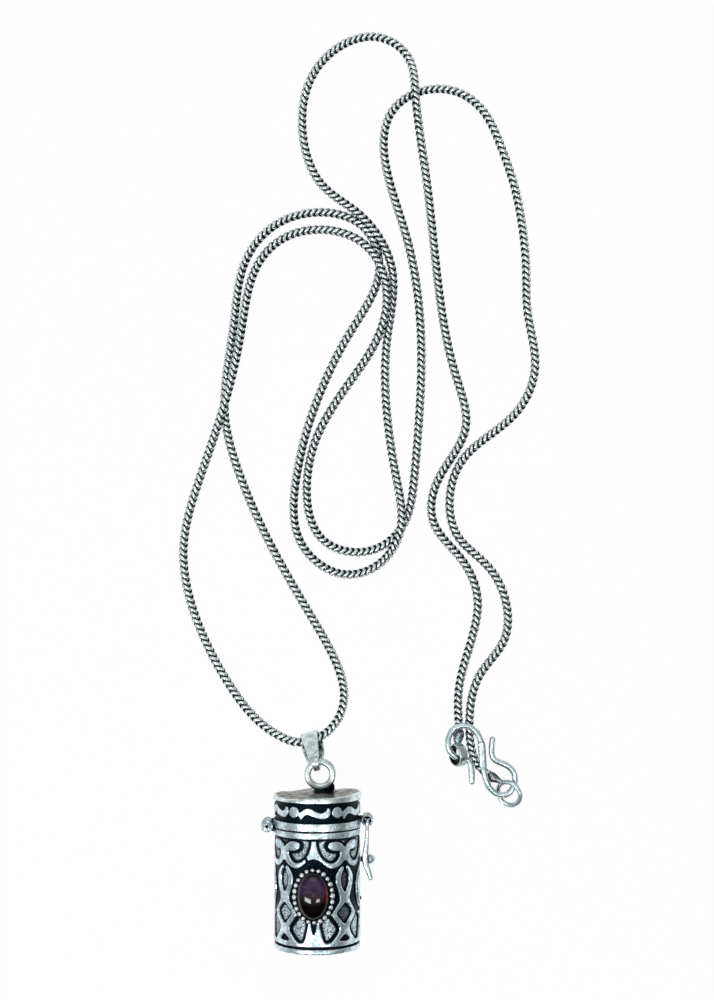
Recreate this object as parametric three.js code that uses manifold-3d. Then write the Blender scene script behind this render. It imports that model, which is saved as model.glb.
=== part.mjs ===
// An amulet locket on its long snake chain, laid on a table on its back.
// Millimetres, +Z up. The locket's axis runs along Y: its base is at the low end and the lid,
// the hanging ring and the bail follow towards +Y. Heights (z) are counted from the table.
import * as THREE from "three";
import { mergeVertices } from "three/addons/utils/BufferGeometryUtils.js";
import Module from "manifold-3d";

const wasm = await Module();
wasm.setup();

// Clearances between pieces
const SOLDER_GAP = 0.05; // pieces that are soldered together
const RUNNING_GAP = 0.1; // a pin in its bore, and one knuckle beside the next
const SEAM = 0.15; // the closed lid over the mouth of the case
const TOUCH_GAP = 0.15; // a loose piece beside the next

// Case
const CASE_HEIGHT = 21.1;
const CASE_WALL_RADIUS = 7.15;
const CASE_WALL = 0.4;
const BASE_THICKNESS = 1.0;
const BASE_ROUNDING = 0.3;
const OPENWORK_THICKNESS = 0.35;
const ENGRAVED_LINE = 0.1;
const TOP_BAND_HEIGHT = 1.1;
const TOP_BAND_THICKNESS = 0.4;
const COLLAR_WALL = 0.3;
const COLLAR_DEPTH = 6;
const COLLAR_RISE = 1.5;

// Lid
const LID_HEIGHT = 6.25;
const LID_WALL_PROUD = 0.15; // the lid's wall lies this far outside the case's wall
const LID_WALL = 0.3;
const LID_RIM_PROUD = 0.55; // and its top and band this far
const LID_TOP_THICKNESS = 1.42;
const LID_BAND_HEIGHT = 1.5;
const RELIEF_HEIGHT = 0.3;
const WAVE_REPEATS = 6;
const DOT_RADIUS = 0.95;
const DOT_PLACE = -31.5; // degrees round the lid, from the front
const DOT_RISE = 0.16; // over the middle of the dark band

// Hanging ring and bail
const HANGER_RADIUS = 2.2; // to the middle of the wire
const HANGER_WIRE = 0.6; // radius of the wire
const HANGER_OFFSET = 0.5; // the ring was soldered a little to the right of the axis
const HANGER_STANDOFF = 0.06;
const SEAT_RADIUS = 1.5;
const SEAT_HEIGHT = 0.7;
const BAIL_PLACE_ON_RING = 112.5; // degrees round the ring, from +X
const BAIL_YAW = 16; // degrees that the bail leans to the left, seen from above
const BAIL_SPAN = 6.67; // from the ring's wire to the middle of the chain loop
const BAIL_STRAP = 0.42;
const BAIL_LOOP_RADIUS = 1.75; // outside of the round end that holds the chain
const BAIL_RING_PLAY = 0.4;
const BAIL_WIDTHS = [
  [0.0, 1.15],
  [0.05, 1.35],
  [0.1, 1.9],
  [0.2, 2.3],
  [0.3, 2.75],
  [0.45, 3.3],
  [0.56, 3.9],
  [0.615, 4.0],
  [0.72, 3.6],
  [0.8, 3.1],
  [0.85, 2.4],
  [0.89, 1.3],
  [1.0, 1.15],
]; // share of the way round the strap from its tip up the front, and the width there

// Hinge and latch
const KNUCKLE_RADIUS = 1.05;
const KNUCKLE_LENGTH = 1.4;
const PIN_RADIUS = 0.45;
const PIN_HEAD_RADIUS = 0.68;
const PIN_HEAD = 0.2;
const HINGE_RISE = 0.35; // hinge axis above the mouth of the case
const LATCH_KNUCKLE_LENGTH = 2.6;
const LATCH_RISE = 1.3; // latch axis above the mouth of the case
const LATCH_WIRE = 0.35;
const KNOB_RADIUS = 0.93;
const KNOB_POST_RADIUS = 0.4;
const KNOB_POST_LENGTH = 0.95;
const KNOB_BELOW_MOUTH = 5.7;

// Stone, its setting and the rim of beads
const STONE_TURN = -3.6; // degrees round the case axis
const STONE_HEIGHT_ON_CASE = 10.36;
const STONE_HALF_WIDTH = 2.55;
const STONE_HALF_LENGTH = 3.8;
const STONE_THICKNESS = 1.85;
const BEZEL_WALL = 0.12;
const BEZEL_HEIGHT = 0.55;
const STONE_PLAY = 0.08;
const BEAD_COUNT = 24;
const BEAD_RADIUS = 0.365;
const BEAD_WIRE = 0.16;
const PLATE_THICKNESS = 0.6;
const PLATE_BORDER = 0.35; // beyond the middle of the beads

// Snake chain, end caps, rings and hook
const CHAIN_START = 1.45; // the chain's and clasp's places below are counted from this far up Y
const CHAIN_RADIUS = 0.8;
const CHAIN_SIDES = 8;
const CAP_RADIUS = 0.85;
const CAP_NOSE_RADIUS = 0.45;
const BAND_RING_RADIUS = 2.1;
const BAND_RING_WALL = 0.5;
const BAND_RING_WIDTH = 1.55;
const BAND_RING_AXIS = new THREE.Vector3(-0.86, -0.1, 0.5).normalize();
const WIRE_RING_RADIUS = 2.25;
const WIRE_RING_WIRE = 0.42;
const WIRE_RING_TILT = 37;
const WIRE_RING_LEAN = new THREE.Vector3(0.5, -0.866, 0).normalize(); // the axis of its tilt
const HOOK_WIRE = 0.52;
const HOOK_BAR_WIDENING = 1.25;
const HOOK_BAR_THINNING = 0.72;

// Places that follow from the sizes above
const CASE_BAND_RADIUS = CASE_WALL_RADIUS + SOLDER_GAP + OPENWORK_THICKNESS;
const TOP_BAND_RADIUS = CASE_WALL_RADIUS + SOLDER_GAP + TOP_BAND_THICKNESS;
const LID_WALL_RADIUS = CASE_WALL_RADIUS + LID_WALL_PROUD;
const LID_RADIUS = CASE_WALL_RADIUS + LID_RIM_PROUD;
const AXIS_HEIGHT = Math.max(LID_RADIUS, CASE_BAND_RADIUS, TOP_BAND_RADIUS);
const LID_FOOT = CASE_HEIGHT + SEAM;
const LID_TOP = LID_FOOT + LID_HEIGHT;
const HINGE_X = -(Math.max(LID_RADIUS, TOP_BAND_RADIUS) + KNUCKLE_RADIUS + SOLDER_GAP);
const HINGE_Y = CASE_HEIGHT + HINGE_RISE;
const KNOB_HEIGHT = CASE_HEIGHT - KNOB_BELOW_MOUTH;
const LATCH_X = -HINGE_X;
const LATCH_Y = CASE_HEIGHT + LATCH_RISE;
const HANGER_CENTRE = new THREE.Vector3(
  HANGER_OFFSET,
  LID_TOP + HANGER_STANDOFF + HANGER_RADIUS + HANGER_WIRE,
  0,
);
const BEAD_HALF_WIDTH = STONE_HALF_WIDTH + STONE_PLAY + BEZEL_WALL + BEAD_RADIUS + 0.15;
const BEAD_HALF_LENGTH = STONE_HALF_LENGTH + STONE_PLAY + BEZEL_WALL + BEAD_RADIUS + 0.15;
const PLATE_TOP = CASE_WALL_RADIUS + SOLDER_GAP + PLATE_THICKNESS;

// Numbers of sides
const BODY_SIDES = 48;
const SMALL_SIDES = 16;
const RING_SIDES = 24;
const WIRE_SIDES = 8;

// The left half of the chain, from inside the bail to its end cap. The height is given only
// where the chain is lifted: at the bail and where it lies over the other half.
const LEFT_ROUTE = [
  [-1.36, 34.35, 1.62], [-3.2, 33.78, 1.6], [-8.75, 35.95], [-13.95, 41.15], [-19.8, 51.0],
  [-23.5, 61.4], [-24.05, 70.1], [-21.45, 80.5], [-16.6, 94.7, 2.56], [-13.5, 109.1, 1.95],
  [-10.65, 119.85], [-3.3, 125.35], [8.8, 122.5, 2.56], [12.3, 112.3, 2.4], [9.4, 103.8, 1.4],
  [4.8, 97.1], [1.1, 91.25], [-1.5, 84.2], [0.5, 70.4], [9.6, 68.15], [15.5, 73.1],
  [17.2, 80.3], [17.9, 88.3], [18.55, 104.4], [16.0, 124.0], [11.95, 138.6], [12.9, 146.4],
  [17.05, 150.1], [24.0, 150.8], [29.4, 147.4], [32.85, 140.75], [35.3, 133.45], [36.75, 125.9],
  [37.4, 118.4], [37.65, 110.9], [39.0, 101.4], [35.35, 92.65], [26.95, 85.6], [23.85, 79.2],
  [25.05, 70.8], [31.25, 64.4], [33.6, 52.5], [29.2, 46.0], [27.2, 37.4], [28.6, 29.8],
  [30.8, 27.75, 0.95],
];

// The right half, likewise
const RIGHT_ROUTE = [
  [-1.08, 34.42, 1.62], [0.4, 34.8, 1.6], [3.15, 37.15, 1.1], [4.7, 42.4], [-1.05, 56.0],
  [-9.3, 70.7], [-15.2, 85.05], [-16.8, 93.9], [-15.15, 108.9], [-13.1, 120.05],
  [-5.6, 127.7], [7.6, 126.7], [11.0, 118.6], [8.45, 111.65], [4.15, 104.5], [-1.9, 90.1],
  [-3.4, 84.0], [-4.4, 76.4], [-2.9, 69.15], [4.1, 63.95], [10.9, 65.65], [14.7, 71.6, 2.56],
  [13.8, 82.6], [12.3, 105.1], [13.25, 118.8], [7.5, 128.35, 1.45], [0.3, 134.3],
  [-2.75, 147.5], [1.4, 156.7], [10.4, 160.4], [16.15, 156.8], [17.4, 150.2, 2.56],
  [19.35, 135.7], [21.7, 115.0], [24.65, 99.9], [26.45, 89.9], [21.4, 80.5], [20.85, 72.9],
  [25.45, 66.95], [28.7, 58.8], [25.5, 44.5], [25.4, 35.9, 0.85],
];

// The middle of the hook's wire, from one open tip to the other: [x, y, z]
const HOOK_ROUTE = [
  [27.6, 26.15, 1.7], [27.55, 28.0, 1.7], [27.42, 29.4, 1.7], [27.1, 30.25, 1.75],
  [26.5, 30.8, 1.85], [25.66, 30.95, 2.05], [24.77, 31.2, 2.3], [23.97, 31.8, 2.42],
  [23.46, 32.6, 2.5], [23.27, 33.75, 2.5], [23.46, 34.93, 2.35], [24.04, 35.97, 2.25],
  [24.9, 36.6, 2.25], [25.95, 36.81, 2.25], [27.04, 36.65, 2.25], [28.05, 36.0, 2.25],
  [28.8, 34.99, 2.25], [29.2, 33.8, 2.25], [29.42, 31.67, 2.25], [29.54, 29.7, 2.25],
  [29.83, 28.1, 2.25], [30.3, 26.5, 2.1], [31.05, 25.28, 1.9], [32.15, 24.52, 1.72],
  [33.28, 24.33, 1.7], [34.2, 24.68, 1.7], [34.88, 25.55, 1.7], [35.25, 26.55, 1.7],
  [35.28, 27.58, 1.75], [34.95, 28.6, 1.85], [34.22, 29.37, 1.9], [33.35, 29.9, 1.95],
  [32.4, 30.29, 2.0], [31.66, 30.73, 2.0], [31.2, 31.47, 2.0], [31.1, 32.5, 2.0],
  [31.18, 33.65, 2.0], [31.35, 34.95, 2.0],
];
const HOOK_BAR = [[29.13, 33.9], [29.54, 29.3]]; // both ends of the hammered bar
const BAND_RING_CENTRE = new THREE.Vector3(25.08, 31.6, 2.2);
const WIRE_RING_CENTRE = new THREE.Vector3(34.22, 24.6, 1.8);
const BAND_RING_SOLDER = new THREE.Vector3(24.95, 33.8, 1.6); // where its cap meets the ring

// Windows of the openwork, as [distance round the case, height above the base]. The first list
// is the right half of one of four like panels, which is mirrored to its left half. The second
// list stands on the line where two panels meet.
const PANEL_WINDOWS = {
  scroll: [
    [0.83, 19.5], [2.7, 19.5], [2.6, 18.55], [3.1, 17.85], [4.95, 18.05], [4.5, 16.75],
    [3.62, 16.05], [2.46, 16.15], [1.52, 17.1],
  ],
  flank: [
    [1.8, 14.75], [3.05, 14.7], [4.95, 14.9], [4.15, 12.55], [4.85, 10.35], [3.75, 7.9],
    [3.0, 7.1], [2.4, 7.15], [3.1, 9.2], [3.1, 11.4], [2.3, 13.45],
  ],
  foot: [
    [0.91, 5.45], [2.87, 6.65], [4.6, 4.7], [3.1, 2.45], [1.88, 2.45],
  ],
};
const BORDER_WINDOWS = {
  crown: [[-0.5, 19.5], [0.5, 19.5], [0, 18.8]],
  arrow: [[-0.75, 15.8], [0.75, 15.8], [0, 16.8]],
  leaf: [[0, 15.3], [0.6, 14.4], [0.6, 12.35], [0, 11.2], [-0.6, 12.35], [-0.6, 14.4]],
  diamond: [[0, 9.4], [1.55, 7.6], [0, 5.8], [-1.55, 7.6]],
  foot: [[-1.0, 2.85], [1.0, 2.85], [0, 3.85]],
};

// One wave of the lid, as [degrees round the lid, height over the middle of the dark band]:
// a band that swings up, down and up again and ends in a blunt head
const WAVE = [
  [-22, -0.1], [-17.8, 0.64], [-13.1, 0.92], [-6.3, 0.8], [0.4, 0.25], [6, 0.08], [10.5, 0.29],
  [13.7, 0.63], [13.8, 1.0], [15.9, 1.07], [18.6, 0.62], [19.2, 0.14], [17.4, -0.47],
  [12.8, -0.83], [6, -0.87], [-1.8, -0.62], [-8.6, -0.16], [-13.1, -0.03], [-16.6, -0.29],
  [-20.2, -1.03], [-23.4, -0.68],
];

// Materials
const FINISHES = {
  silver: { color: 0xb4c0c0, roughness: 0.36, metalness: 1.0 },
  worn_silver: { color: 0x8f9b9b, roughness: 0.5, metalness: 1.0 },
  oxidised: { color: 0x11181c, roughness: 0.6, metalness: 0.8 },
  chain: { color: 0x7d8888, roughness: 0.42, metalness: 1.0 },
  garnet: { color: 0x3a0718, roughness: 0.08, metalness: 0.0 },
};

function mesh(name, geometry, finish) {
  const made = new THREE.Mesh(geometry, new THREE.MeshStandardMaterial(FINISHES[finish]));
  made.name = name;
  return made;
}

// A geometry with shared vertices and nothing but positions
function bare(geometry) {
  const plain = geometry.clone();
  plain.deleteAttribute("normal");
  plain.deleteAttribute("uv");
  return mergeVertices(plain, 1e-4);
}

function signedVolume(geometry) {
  const p = geometry.attributes.position;
  const index = geometry.index.array;
  const [a, b, c] = [new THREE.Vector3(), new THREE.Vector3(), new THREE.Vector3()];
  let six = 0;
  for (let i = 0; i < index.length; i += 3) {
    a.fromBufferAttribute(p, index[i]);
    b.fromBufferAttribute(p, index[i + 1]);
    c.fromBufferAttribute(p, index[i + 2]);
    six += a.dot(b.cross(c));
  }
  return six / 6;
}

// The same closed surface with its faces pointing out
function outward(geometry) {
  const plain = bare(geometry);
  if (signedVolume(plain) < 0) {
    const index = plain.index.array;
    for (let i = 0; i < index.length; i += 3) {
      [index[i + 1], index[i + 2]] = [index[i + 2], index[i + 1]];
    }
  }
  return plain;
}

function toSolid(geometry) {
  const plain = outward(geometry);
  return new wasm.Manifold(
    new wasm.Mesh({
      numProp: 3,
      vertProperties: new Float32Array(plain.attributes.position.array),
      triVerts: new Uint32Array(plain.index.array),
    }),
  );
}

function toGeometry(solid) {
  const data = solid.getMesh();
  const positions = new Float32Array(data.numVert * 3);
  for (let i = 0; i < data.numVert; i++) {
    positions.set(data.vertProperties.subarray(i * data.numProp, i * data.numProp + 3), i * 3);
  }
  const geometry = new THREE.BufferGeometry();
  geometry.setAttribute("position", new THREE.BufferAttribute(positions, 3));
  geometry.setIndex(new THREE.BufferAttribute(data.triVerts, 1));
  return geometry;
}

function cut(geometry, cutters) {
  return toGeometry(cutters.reduce((rest, cutter) => rest.subtract(toSolid(cutter)), toSolid(geometry)));
}

function join(geometries) {
  return toGeometry(geometries.map(toSolid).reduce((whole, piece) => whole.add(piece)));
}

// A profile of [radius, height] pairs turned about the Y axis
function turned(profile, sides = BODY_SIDES) {
  const points = profile.map(([radius, height]) => new THREE.Vector2(radius, height));
  return outward(new THREE.LatheGeometry(points, sides));
}

// A turned tube with its outer edges broken by a small bevel
function tube(inner, outer, low, high, bevel = 0, sides = BODY_SIDES) {
  return turned(
    [
      [inner, low],
      [outer - bevel, low],
      [outer, low + bevel],
      [outer, high - bevel],
      [outer - bevel, high],
      [inner, high],
      [inner, low],
    ].filter(([r, y], i, all) => i === 0 || r !== all[i - 1][0] || y !== all[i - 1][1]),
    sides,
  );
}

// A turned tube whose axis runs along Z
function tubeAlongZ(inner, outer, low, high) {
  return tube(inner, outer, low, high, 0, SMALL_SIDES).rotateX(Math.PI / 2);
}

// Closed rings of points joined one to the next; the last is joined to the first
function closedLoft(rings) {
  const corners = rings[0].length;
  const positions = rings.flat().flatMap((p) => [p.x, p.y, p.z]);
  const index = [];
  rings.forEach((_, i) => {
    const j = (i + 1) % rings.length;
    for (let k = 0; k < corners; k++) {
      const l = (k + 1) % corners;
      const [a, b, c, d] = [i * corners + k, i * corners + l, j * corners + l, j * corners + k];
      index.push(a, b, c, a, c, d);
    }
  });
  const geometry = new THREE.BufferGeometry();
  geometry.setAttribute("position", new THREE.Float32BufferAttribute(positions, 3));
  geometry.setIndex(index);
  return outward(geometry);
}

// A smooth curve whose steps fall on its own points, however unevenly they lie
class Route extends THREE.CatmullRomCurve3 {
  getPointAt(u, target) {
    return this.getPoint(u, target);
  }
  getTangentAt(u, target) {
    return this.getTangent(u, target);
  }
}

function roundSection(radius, sides) {
  const shape = new THREE.Shape();
  for (let i = 0; i < sides; i++) {
    const angle = ((i + 0.5) * 2 * Math.PI) / sides;
    const [x, y] = [radius * Math.cos(angle), radius * Math.sin(angle)];
    if (i === 0) shape.moveTo(x, y);
    else shape.lineTo(x, y);
  }
  shape.closePath();
  return shape;
}

// A round wire along hand-set points, with the given number of steps between two points
function wireAlong(points, radius, stepsPerPoint = 1, sides = WIRE_SIDES) {
  const route = new Route(points, false, "centripetal");
  return outward(
    new THREE.ExtrudeGeometry(roundSection(radius, sides), {
      steps: (points.length - 1) * stepsPerPoint,
      bevelEnabled: false,
      extrudePath: route,
    }),
  );
}

// A shape of [distance round, height] pairs as a prism that points away from the axis
function radialPrism(points, angle, radius, from, to) {
  const middle = points.reduce((sum, [u]) => sum + u, 0) / points.length;
  const shape = new THREE.Shape(
    points.map(([u, y]) => new THREE.Vector2(radius * Math.sin((u - middle) / radius), y)),
  );
  const prism = new THREE.ExtrudeGeometry(shape, { depth: to - from, bevelEnabled: false });
  prism.translate(0, 0, from);
  prism.rotateY(angle + middle / radius);
  return prism;
}

function oval(halfWidth, halfLength, count = 32) {
  return Array.from({ length: count }, (_, i) => {
    const angle = (i * 2 * Math.PI) / count;
    return [halfWidth * Math.cos(angle), halfLength * Math.sin(angle)];
  });
}

// A straight oval prism on the stone's own axis
function ovalPrism(halfWidth, halfLength, from, to) {
  const shape = new THREE.Shape(oval(halfWidth, halfLength).map(([x, y]) => new THREE.Vector2(x, y)));
  return new THREE.ExtrudeGeometry(shape, { depth: to - from, bevelEnabled: false }).translate(0, 0, from);
}

function placeOnFront(geometry) {
  return geometry.translate(0, STONE_HEIGHT_ON_CASE, 0).rotateY(THREE.MathUtils.degToRad(STONE_TURN));
}

// Case: the turned pieces and the pierced ornament round its wall
function caseOpenwork() {
  const sleeve = tube(
    CASE_WALL_RADIUS + SOLDER_GAP,
    CASE_BAND_RADIUS,
    BASE_THICKNESS + ENGRAVED_LINE,
    CASE_HEIGHT - TOP_BAND_HEIGHT - ENGRAVED_LINE,
  );
  const from = CASE_WALL_RADIUS - 2;
  const to = CASE_BAND_RADIUS + 2;
  const front = THREE.MathUtils.degToRad(STONE_TURN);
  const cutters = [];
  for (let quarter = 0; quarter < 4; quarter++) {
    const angle = front + (quarter * Math.PI) / 2;
    for (const points of Object.values(PANEL_WINDOWS)) {
      const mirrored = points.map(([u, y]) => [-u, y]).reverse();
      cutters.push(radialPrism(points, angle, CASE_BAND_RADIUS, from, to));
      cutters.push(radialPrism(mirrored, angle, CASE_BAND_RADIUS, from, to));
    }
    for (const points of Object.values(BORDER_WINDOWS)) {
      cutters.push(radialPrism(points, angle + Math.PI / 4, CASE_BAND_RADIUS, from, to));
    }
  }
  const border = PLATE_BORDER + SOLDER_GAP;
  cutters.push(
    placeOnFront(ovalPrism(BEAD_HALF_WIDTH + border, BEAD_HALF_LENGTH + border, 1, to)),
  );
  return cut(sleeve, cutters);
}

function casePieces() {
  const mouthBandLow = CASE_HEIGHT - TOP_BAND_HEIGHT;
  const collarRadius = CASE_WALL_RADIUS - CASE_WALL - RUNNING_GAP;
  const base = turned([
    [0, 0],
    [CASE_BAND_RADIUS - BASE_ROUNDING, 0],
    [CASE_BAND_RADIUS, BASE_ROUNDING],
    [CASE_BAND_RADIUS, BASE_THICKNESS],
    [0, BASE_THICKNESS],
  ]);
  return [
    mesh("case_base", base, "silver"),
    mesh(
      "case_wall",
      tube(CASE_WALL_RADIUS - CASE_WALL, CASE_WALL_RADIUS, BASE_THICKNESS, CASE_HEIGHT),
      "oxidised",
    ),
    mesh("case_openwork", caseOpenwork(), "silver"),
    mesh(
      "case_top_band",
      tube(CASE_WALL_RADIUS + SOLDER_GAP, TOP_BAND_RADIUS, mouthBandLow, CASE_HEIGHT, 0.12),
      "silver",
    ),
    mesh(
      "inner_collar",
      tube(
        collarRadius - COLLAR_WALL,
        collarRadius,
        CASE_HEIGHT - COLLAR_DEPTH,
        CASE_HEIGHT + COLLAR_RISE,
      ),
      "worn_silver",
    ),
  ];
}

// Stone setting
function beadedRim() {
  const pieces = [];
  const wire = closedLoft(
    oval(BEAD_HALF_WIDTH, BEAD_HALF_LENGTH, 2 * BEAD_COUNT).map(([x, y]) => {
      const out = new THREE.Vector3(x / BEAD_HALF_WIDTH ** 2, y / BEAD_HALF_LENGTH ** 2, 0).normalize();
      return [0, 1, 2, 3].map((k) => {
        const angle = (k * Math.PI) / 2;
        return new THREE.Vector3(x, y, BEAD_WIRE * Math.sin(angle)).addScaledVector(
          out,
          BEAD_WIRE * Math.cos(angle),
        );
      });
    }),
  );
  pieces.push(wire);
  // Beads stand at equal steps along the oval, found by walking round it finely.
  const fine = oval(BEAD_HALF_WIDTH, BEAD_HALF_LENGTH, 1440);
  const lengths = fine.map(([x, y], i) => {
    const [nextX, nextY] = fine[(i + 1) % fine.length];
    return Math.hypot(nextX - x, nextY - y);
  });
  const step = lengths.reduce((sum, length) => sum + length, 0) / BEAD_COUNT;
  let walked = 0;
  let placed = 0;
  fine.forEach(([x, y], i) => {
    if (walked >= placed * step && placed < BEAD_COUNT) {
      pieces.push(new THREE.SphereGeometry(BEAD_RADIUS, 6, 4).rotateX(Math.PI / 2).translate(x, y, 0));
      placed += 1;
    }
    walked += lengths[i];
  });
  return join(pieces);
}

function settingPieces() {
  const plateEdge = PLATE_BORDER;
  const plate = cut(
    ovalPrism(BEAD_HALF_WIDTH + plateEdge, BEAD_HALF_LENGTH + plateEdge, CASE_WALL_RADIUS / 2, PLATE_TOP),
    [
      turned([
        [0, -CASE_HEIGHT],
        [CASE_WALL_RADIUS + SOLDER_GAP, -CASE_HEIGHT],
        [CASE_WALL_RADIUS + SOLDER_GAP, CASE_HEIGHT],
        [0, CASE_HEIGHT],
      ]),
    ],
  );
  const seat = PLATE_TOP + SOLDER_GAP;
  const innerWidth = STONE_HALF_WIDTH + STONE_PLAY;
  const innerLength = STONE_HALF_LENGTH + STONE_PLAY;
  const bezel = cut(
    ovalPrism(innerWidth + BEZEL_WALL, innerLength + BEZEL_WALL, seat, seat + BEZEL_HEIGHT),
    [ovalPrism(innerWidth, innerLength, seat - 1, seat + BEZEL_HEIGHT + 1)],
  );
  const dome = [
    [0, 0],
    [0.94, 0],
    [1, 0.1],
    [0.98, 0.3],
    [0.9, 0.55],
    [0.76, 0.75],
    [0.55, 0.9],
    [0.3, 0.98],
    [0, 1],
  ];
  const stone = turned(
    dome.map(([r, h]) => [r, h * STONE_THICKNESS]),
    RING_SIDES,
  )
    .rotateX(Math.PI / 2)
    .scale(STONE_HALF_WIDTH, STONE_HALF_LENGTH, 1)
    .translate(0, 0, seat);
  const beads = beadedRim().translate(0, 0, seat + BEAD_RADIUS);
  return [
    mesh("stone_plate", placeOnFront(plate), "oxidised"),
    mesh("bezel_cup", placeOnFront(bezel), "worn_silver"),
    mesh("beaded_rim", placeOnFront(beads), "silver"),
    mesh("garnet_cabochon", placeOnFront(stone), "garnet"),
  ];
}

// Lid
function lidWall() {
  const low = LID_FOOT;
  const high = LID_TOP - LID_TOP_THICKNESS;
  const outer = LID_WALL_RADIUS + RELIEF_HEIGHT;
  const wall = tube(LID_WALL_RADIUS - LID_WALL, LID_WALL_RADIUS, low, high);
  const middle = (low + LID_BAND_HEIGHT + high) / 2;
  const from = LID_WALL_RADIUS - LID_WALL / 2;
  const around = (degrees) => THREE.MathUtils.degToRad(degrees) * outer;
  const wave = WAVE.map(([degrees, y]) => [around(degrees), middle + y]);
  const dot = oval(DOT_RADIUS, DOT_RADIUS, 8).map(([u, y]) => [u + around(DOT_PLACE), middle + DOT_RISE + y]);
  const skin = tube(from, outer, low, high);
  const relief = [];
  for (let i = 0; i < WAVE_REPEATS; i++) {
    const angle = (i * 2 * Math.PI) / WAVE_REPEATS;
    for (const points of [wave.slice().reverse(), dot]) {
      relief.push(toSolid(radialPrism(points, angle, outer, 1, outer + 1)));
    }
  }
  const raised = relief.reduce((whole, piece) => whole.add(piece)).intersect(toSolid(skin));
  return toGeometry(toSolid(wall).add(raised));
}

function hangingRing() {
  const ring = new THREE.TorusGeometry(HANGER_RADIUS, HANGER_WIRE, 12, 32);
  return outward(ring).translate(...HANGER_CENTRE.toArray());
}

function ringSeat() {
  const mound = turned(
    [
      [0, 0],
      [SEAT_RADIUS, 0],
      [SEAT_RADIUS * 0.92, SEAT_HEIGHT * 0.4],
      [SEAT_RADIUS * 0.68, SEAT_HEIGHT * 0.8],
      [SEAT_RADIUS * 0.5, SEAT_HEIGHT],
      [0, SEAT_HEIGHT],
    ],
    RING_SIDES,
  ).translate(HANGER_OFFSET, LID_TOP, 0);
  const room = new THREE.TorusGeometry(HANGER_RADIUS, HANGER_WIRE + SOLDER_GAP, 12, 32);
  return cut(mound, [room.translate(...HANGER_CENTRE.toArray())]);
}

function lidPieces() {
  const topLow = LID_TOP - LID_TOP_THICKNESS;
  const top = turned([
    [0, topLow],
    [LID_RADIUS, topLow],
    [LID_RADIUS, LID_TOP - 0.15],
    [LID_RADIUS - 0.15, LID_TOP],
    [0, LID_TOP],
  ]);
  const bandInner = LID_WALL_RADIUS + SOLDER_GAP;
  const half = LATCH_KNUCKLE_LENGTH / 2;
  const bore = LATCH_WIRE + RUNNING_GAP;
  const middleKnuckle = KNUCKLE_LENGTH / 2;
  return [
    mesh("lid_top", top, "silver"),
    mesh("lid_wall", lidWall(), "oxidised"),
    mesh("lid_band", tube(bandInner, LID_RADIUS, LID_FOOT, LID_FOOT + LID_BAND_HEIGHT, 0.1), "silver"),
    mesh("hanging_ring", hangingRing(), "silver"),
    mesh("ring_seat", ringSeat(), "oxidised"),
    mesh(
      "lid_knuckle",
      tubeAlongZ(PIN_RADIUS + RUNNING_GAP, KNUCKLE_RADIUS, -middleKnuckle, middleKnuckle)
        .translate(HINGE_X, HINGE_Y, 0),
      "worn_silver",
    ),
    mesh(
      "latch_knuckle",
      tubeAlongZ(bore, KNUCKLE_RADIUS, -half, half).translate(LATCH_X, LATCH_Y, 0),
      "worn_silver",
    ),
  ];
}

// Hinge halves of the case, their pin, and the knob that the latch wire snaps over
function hingePieces() {
  const near = KNUCKLE_LENGTH / 2 + RUNNING_GAP;
  const far = near + KNUCKLE_LENGTH;
  const bore = PIN_RADIUS + RUNNING_GAP;
  const end = far + RUNNING_GAP;
  const pin = turned(
    [
      [0, -end - PIN_HEAD],
      [PIN_HEAD_RADIUS * 0.7, -end - PIN_HEAD],
      [PIN_HEAD_RADIUS, -end - PIN_HEAD * 0.4],
      [PIN_HEAD_RADIUS, -end],
      [PIN_RADIUS, -end],
      [PIN_RADIUS, end],
      [PIN_HEAD_RADIUS, end],
      [PIN_HEAD_RADIUS, end + PIN_HEAD * 0.4],
      [PIN_HEAD_RADIUS * 0.7, end + PIN_HEAD],
      [0, end + PIN_HEAD],
    ],
    SMALL_SIDES,
  ).rotateX(Math.PI / 2);
  const knobSeat = CASE_BAND_RADIUS + SOLDER_GAP;
  const ballCentre = knobSeat + KNOB_POST_LENGTH + KNOB_RADIUS * 0.75;
  const knobProfile = [
    [0, knobSeat],
    [KNOB_POST_RADIUS, knobSeat],
  ];
  const firstAngle = Math.asin(KNOB_POST_RADIUS / KNOB_RADIUS);
  for (let i = 0; i <= 8; i++) {
    const angle = firstAngle + ((Math.PI - firstAngle) * i) / 8;
    knobProfile.push([
      i === 8 ? 0 : KNOB_RADIUS * Math.sin(angle),
      ballCentre - KNOB_RADIUS * Math.cos(angle),
    ]);
  }
  const knob = turned(knobProfile, SMALL_SIDES).rotateZ(-Math.PI / 2).translate(0, KNOB_HEIGHT, 0);
  return [
    mesh(
      "case_knuckle_front",
      tubeAlongZ(bore, KNUCKLE_RADIUS, near, far).translate(HINGE_X, HINGE_Y, 0),
      "worn_silver",
    ),
    mesh(
      "case_knuckle_back",
      tubeAlongZ(bore, KNUCKLE_RADIUS, -far, -near).translate(HINGE_X, HINGE_Y, 0),
      "worn_silver",
    ),
    mesh("hinge_pin", pin.translate(HINGE_X, HINGE_Y, 0), "silver"),
    mesh("latch_knob", knob, "silver"),
  ];
}

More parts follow.
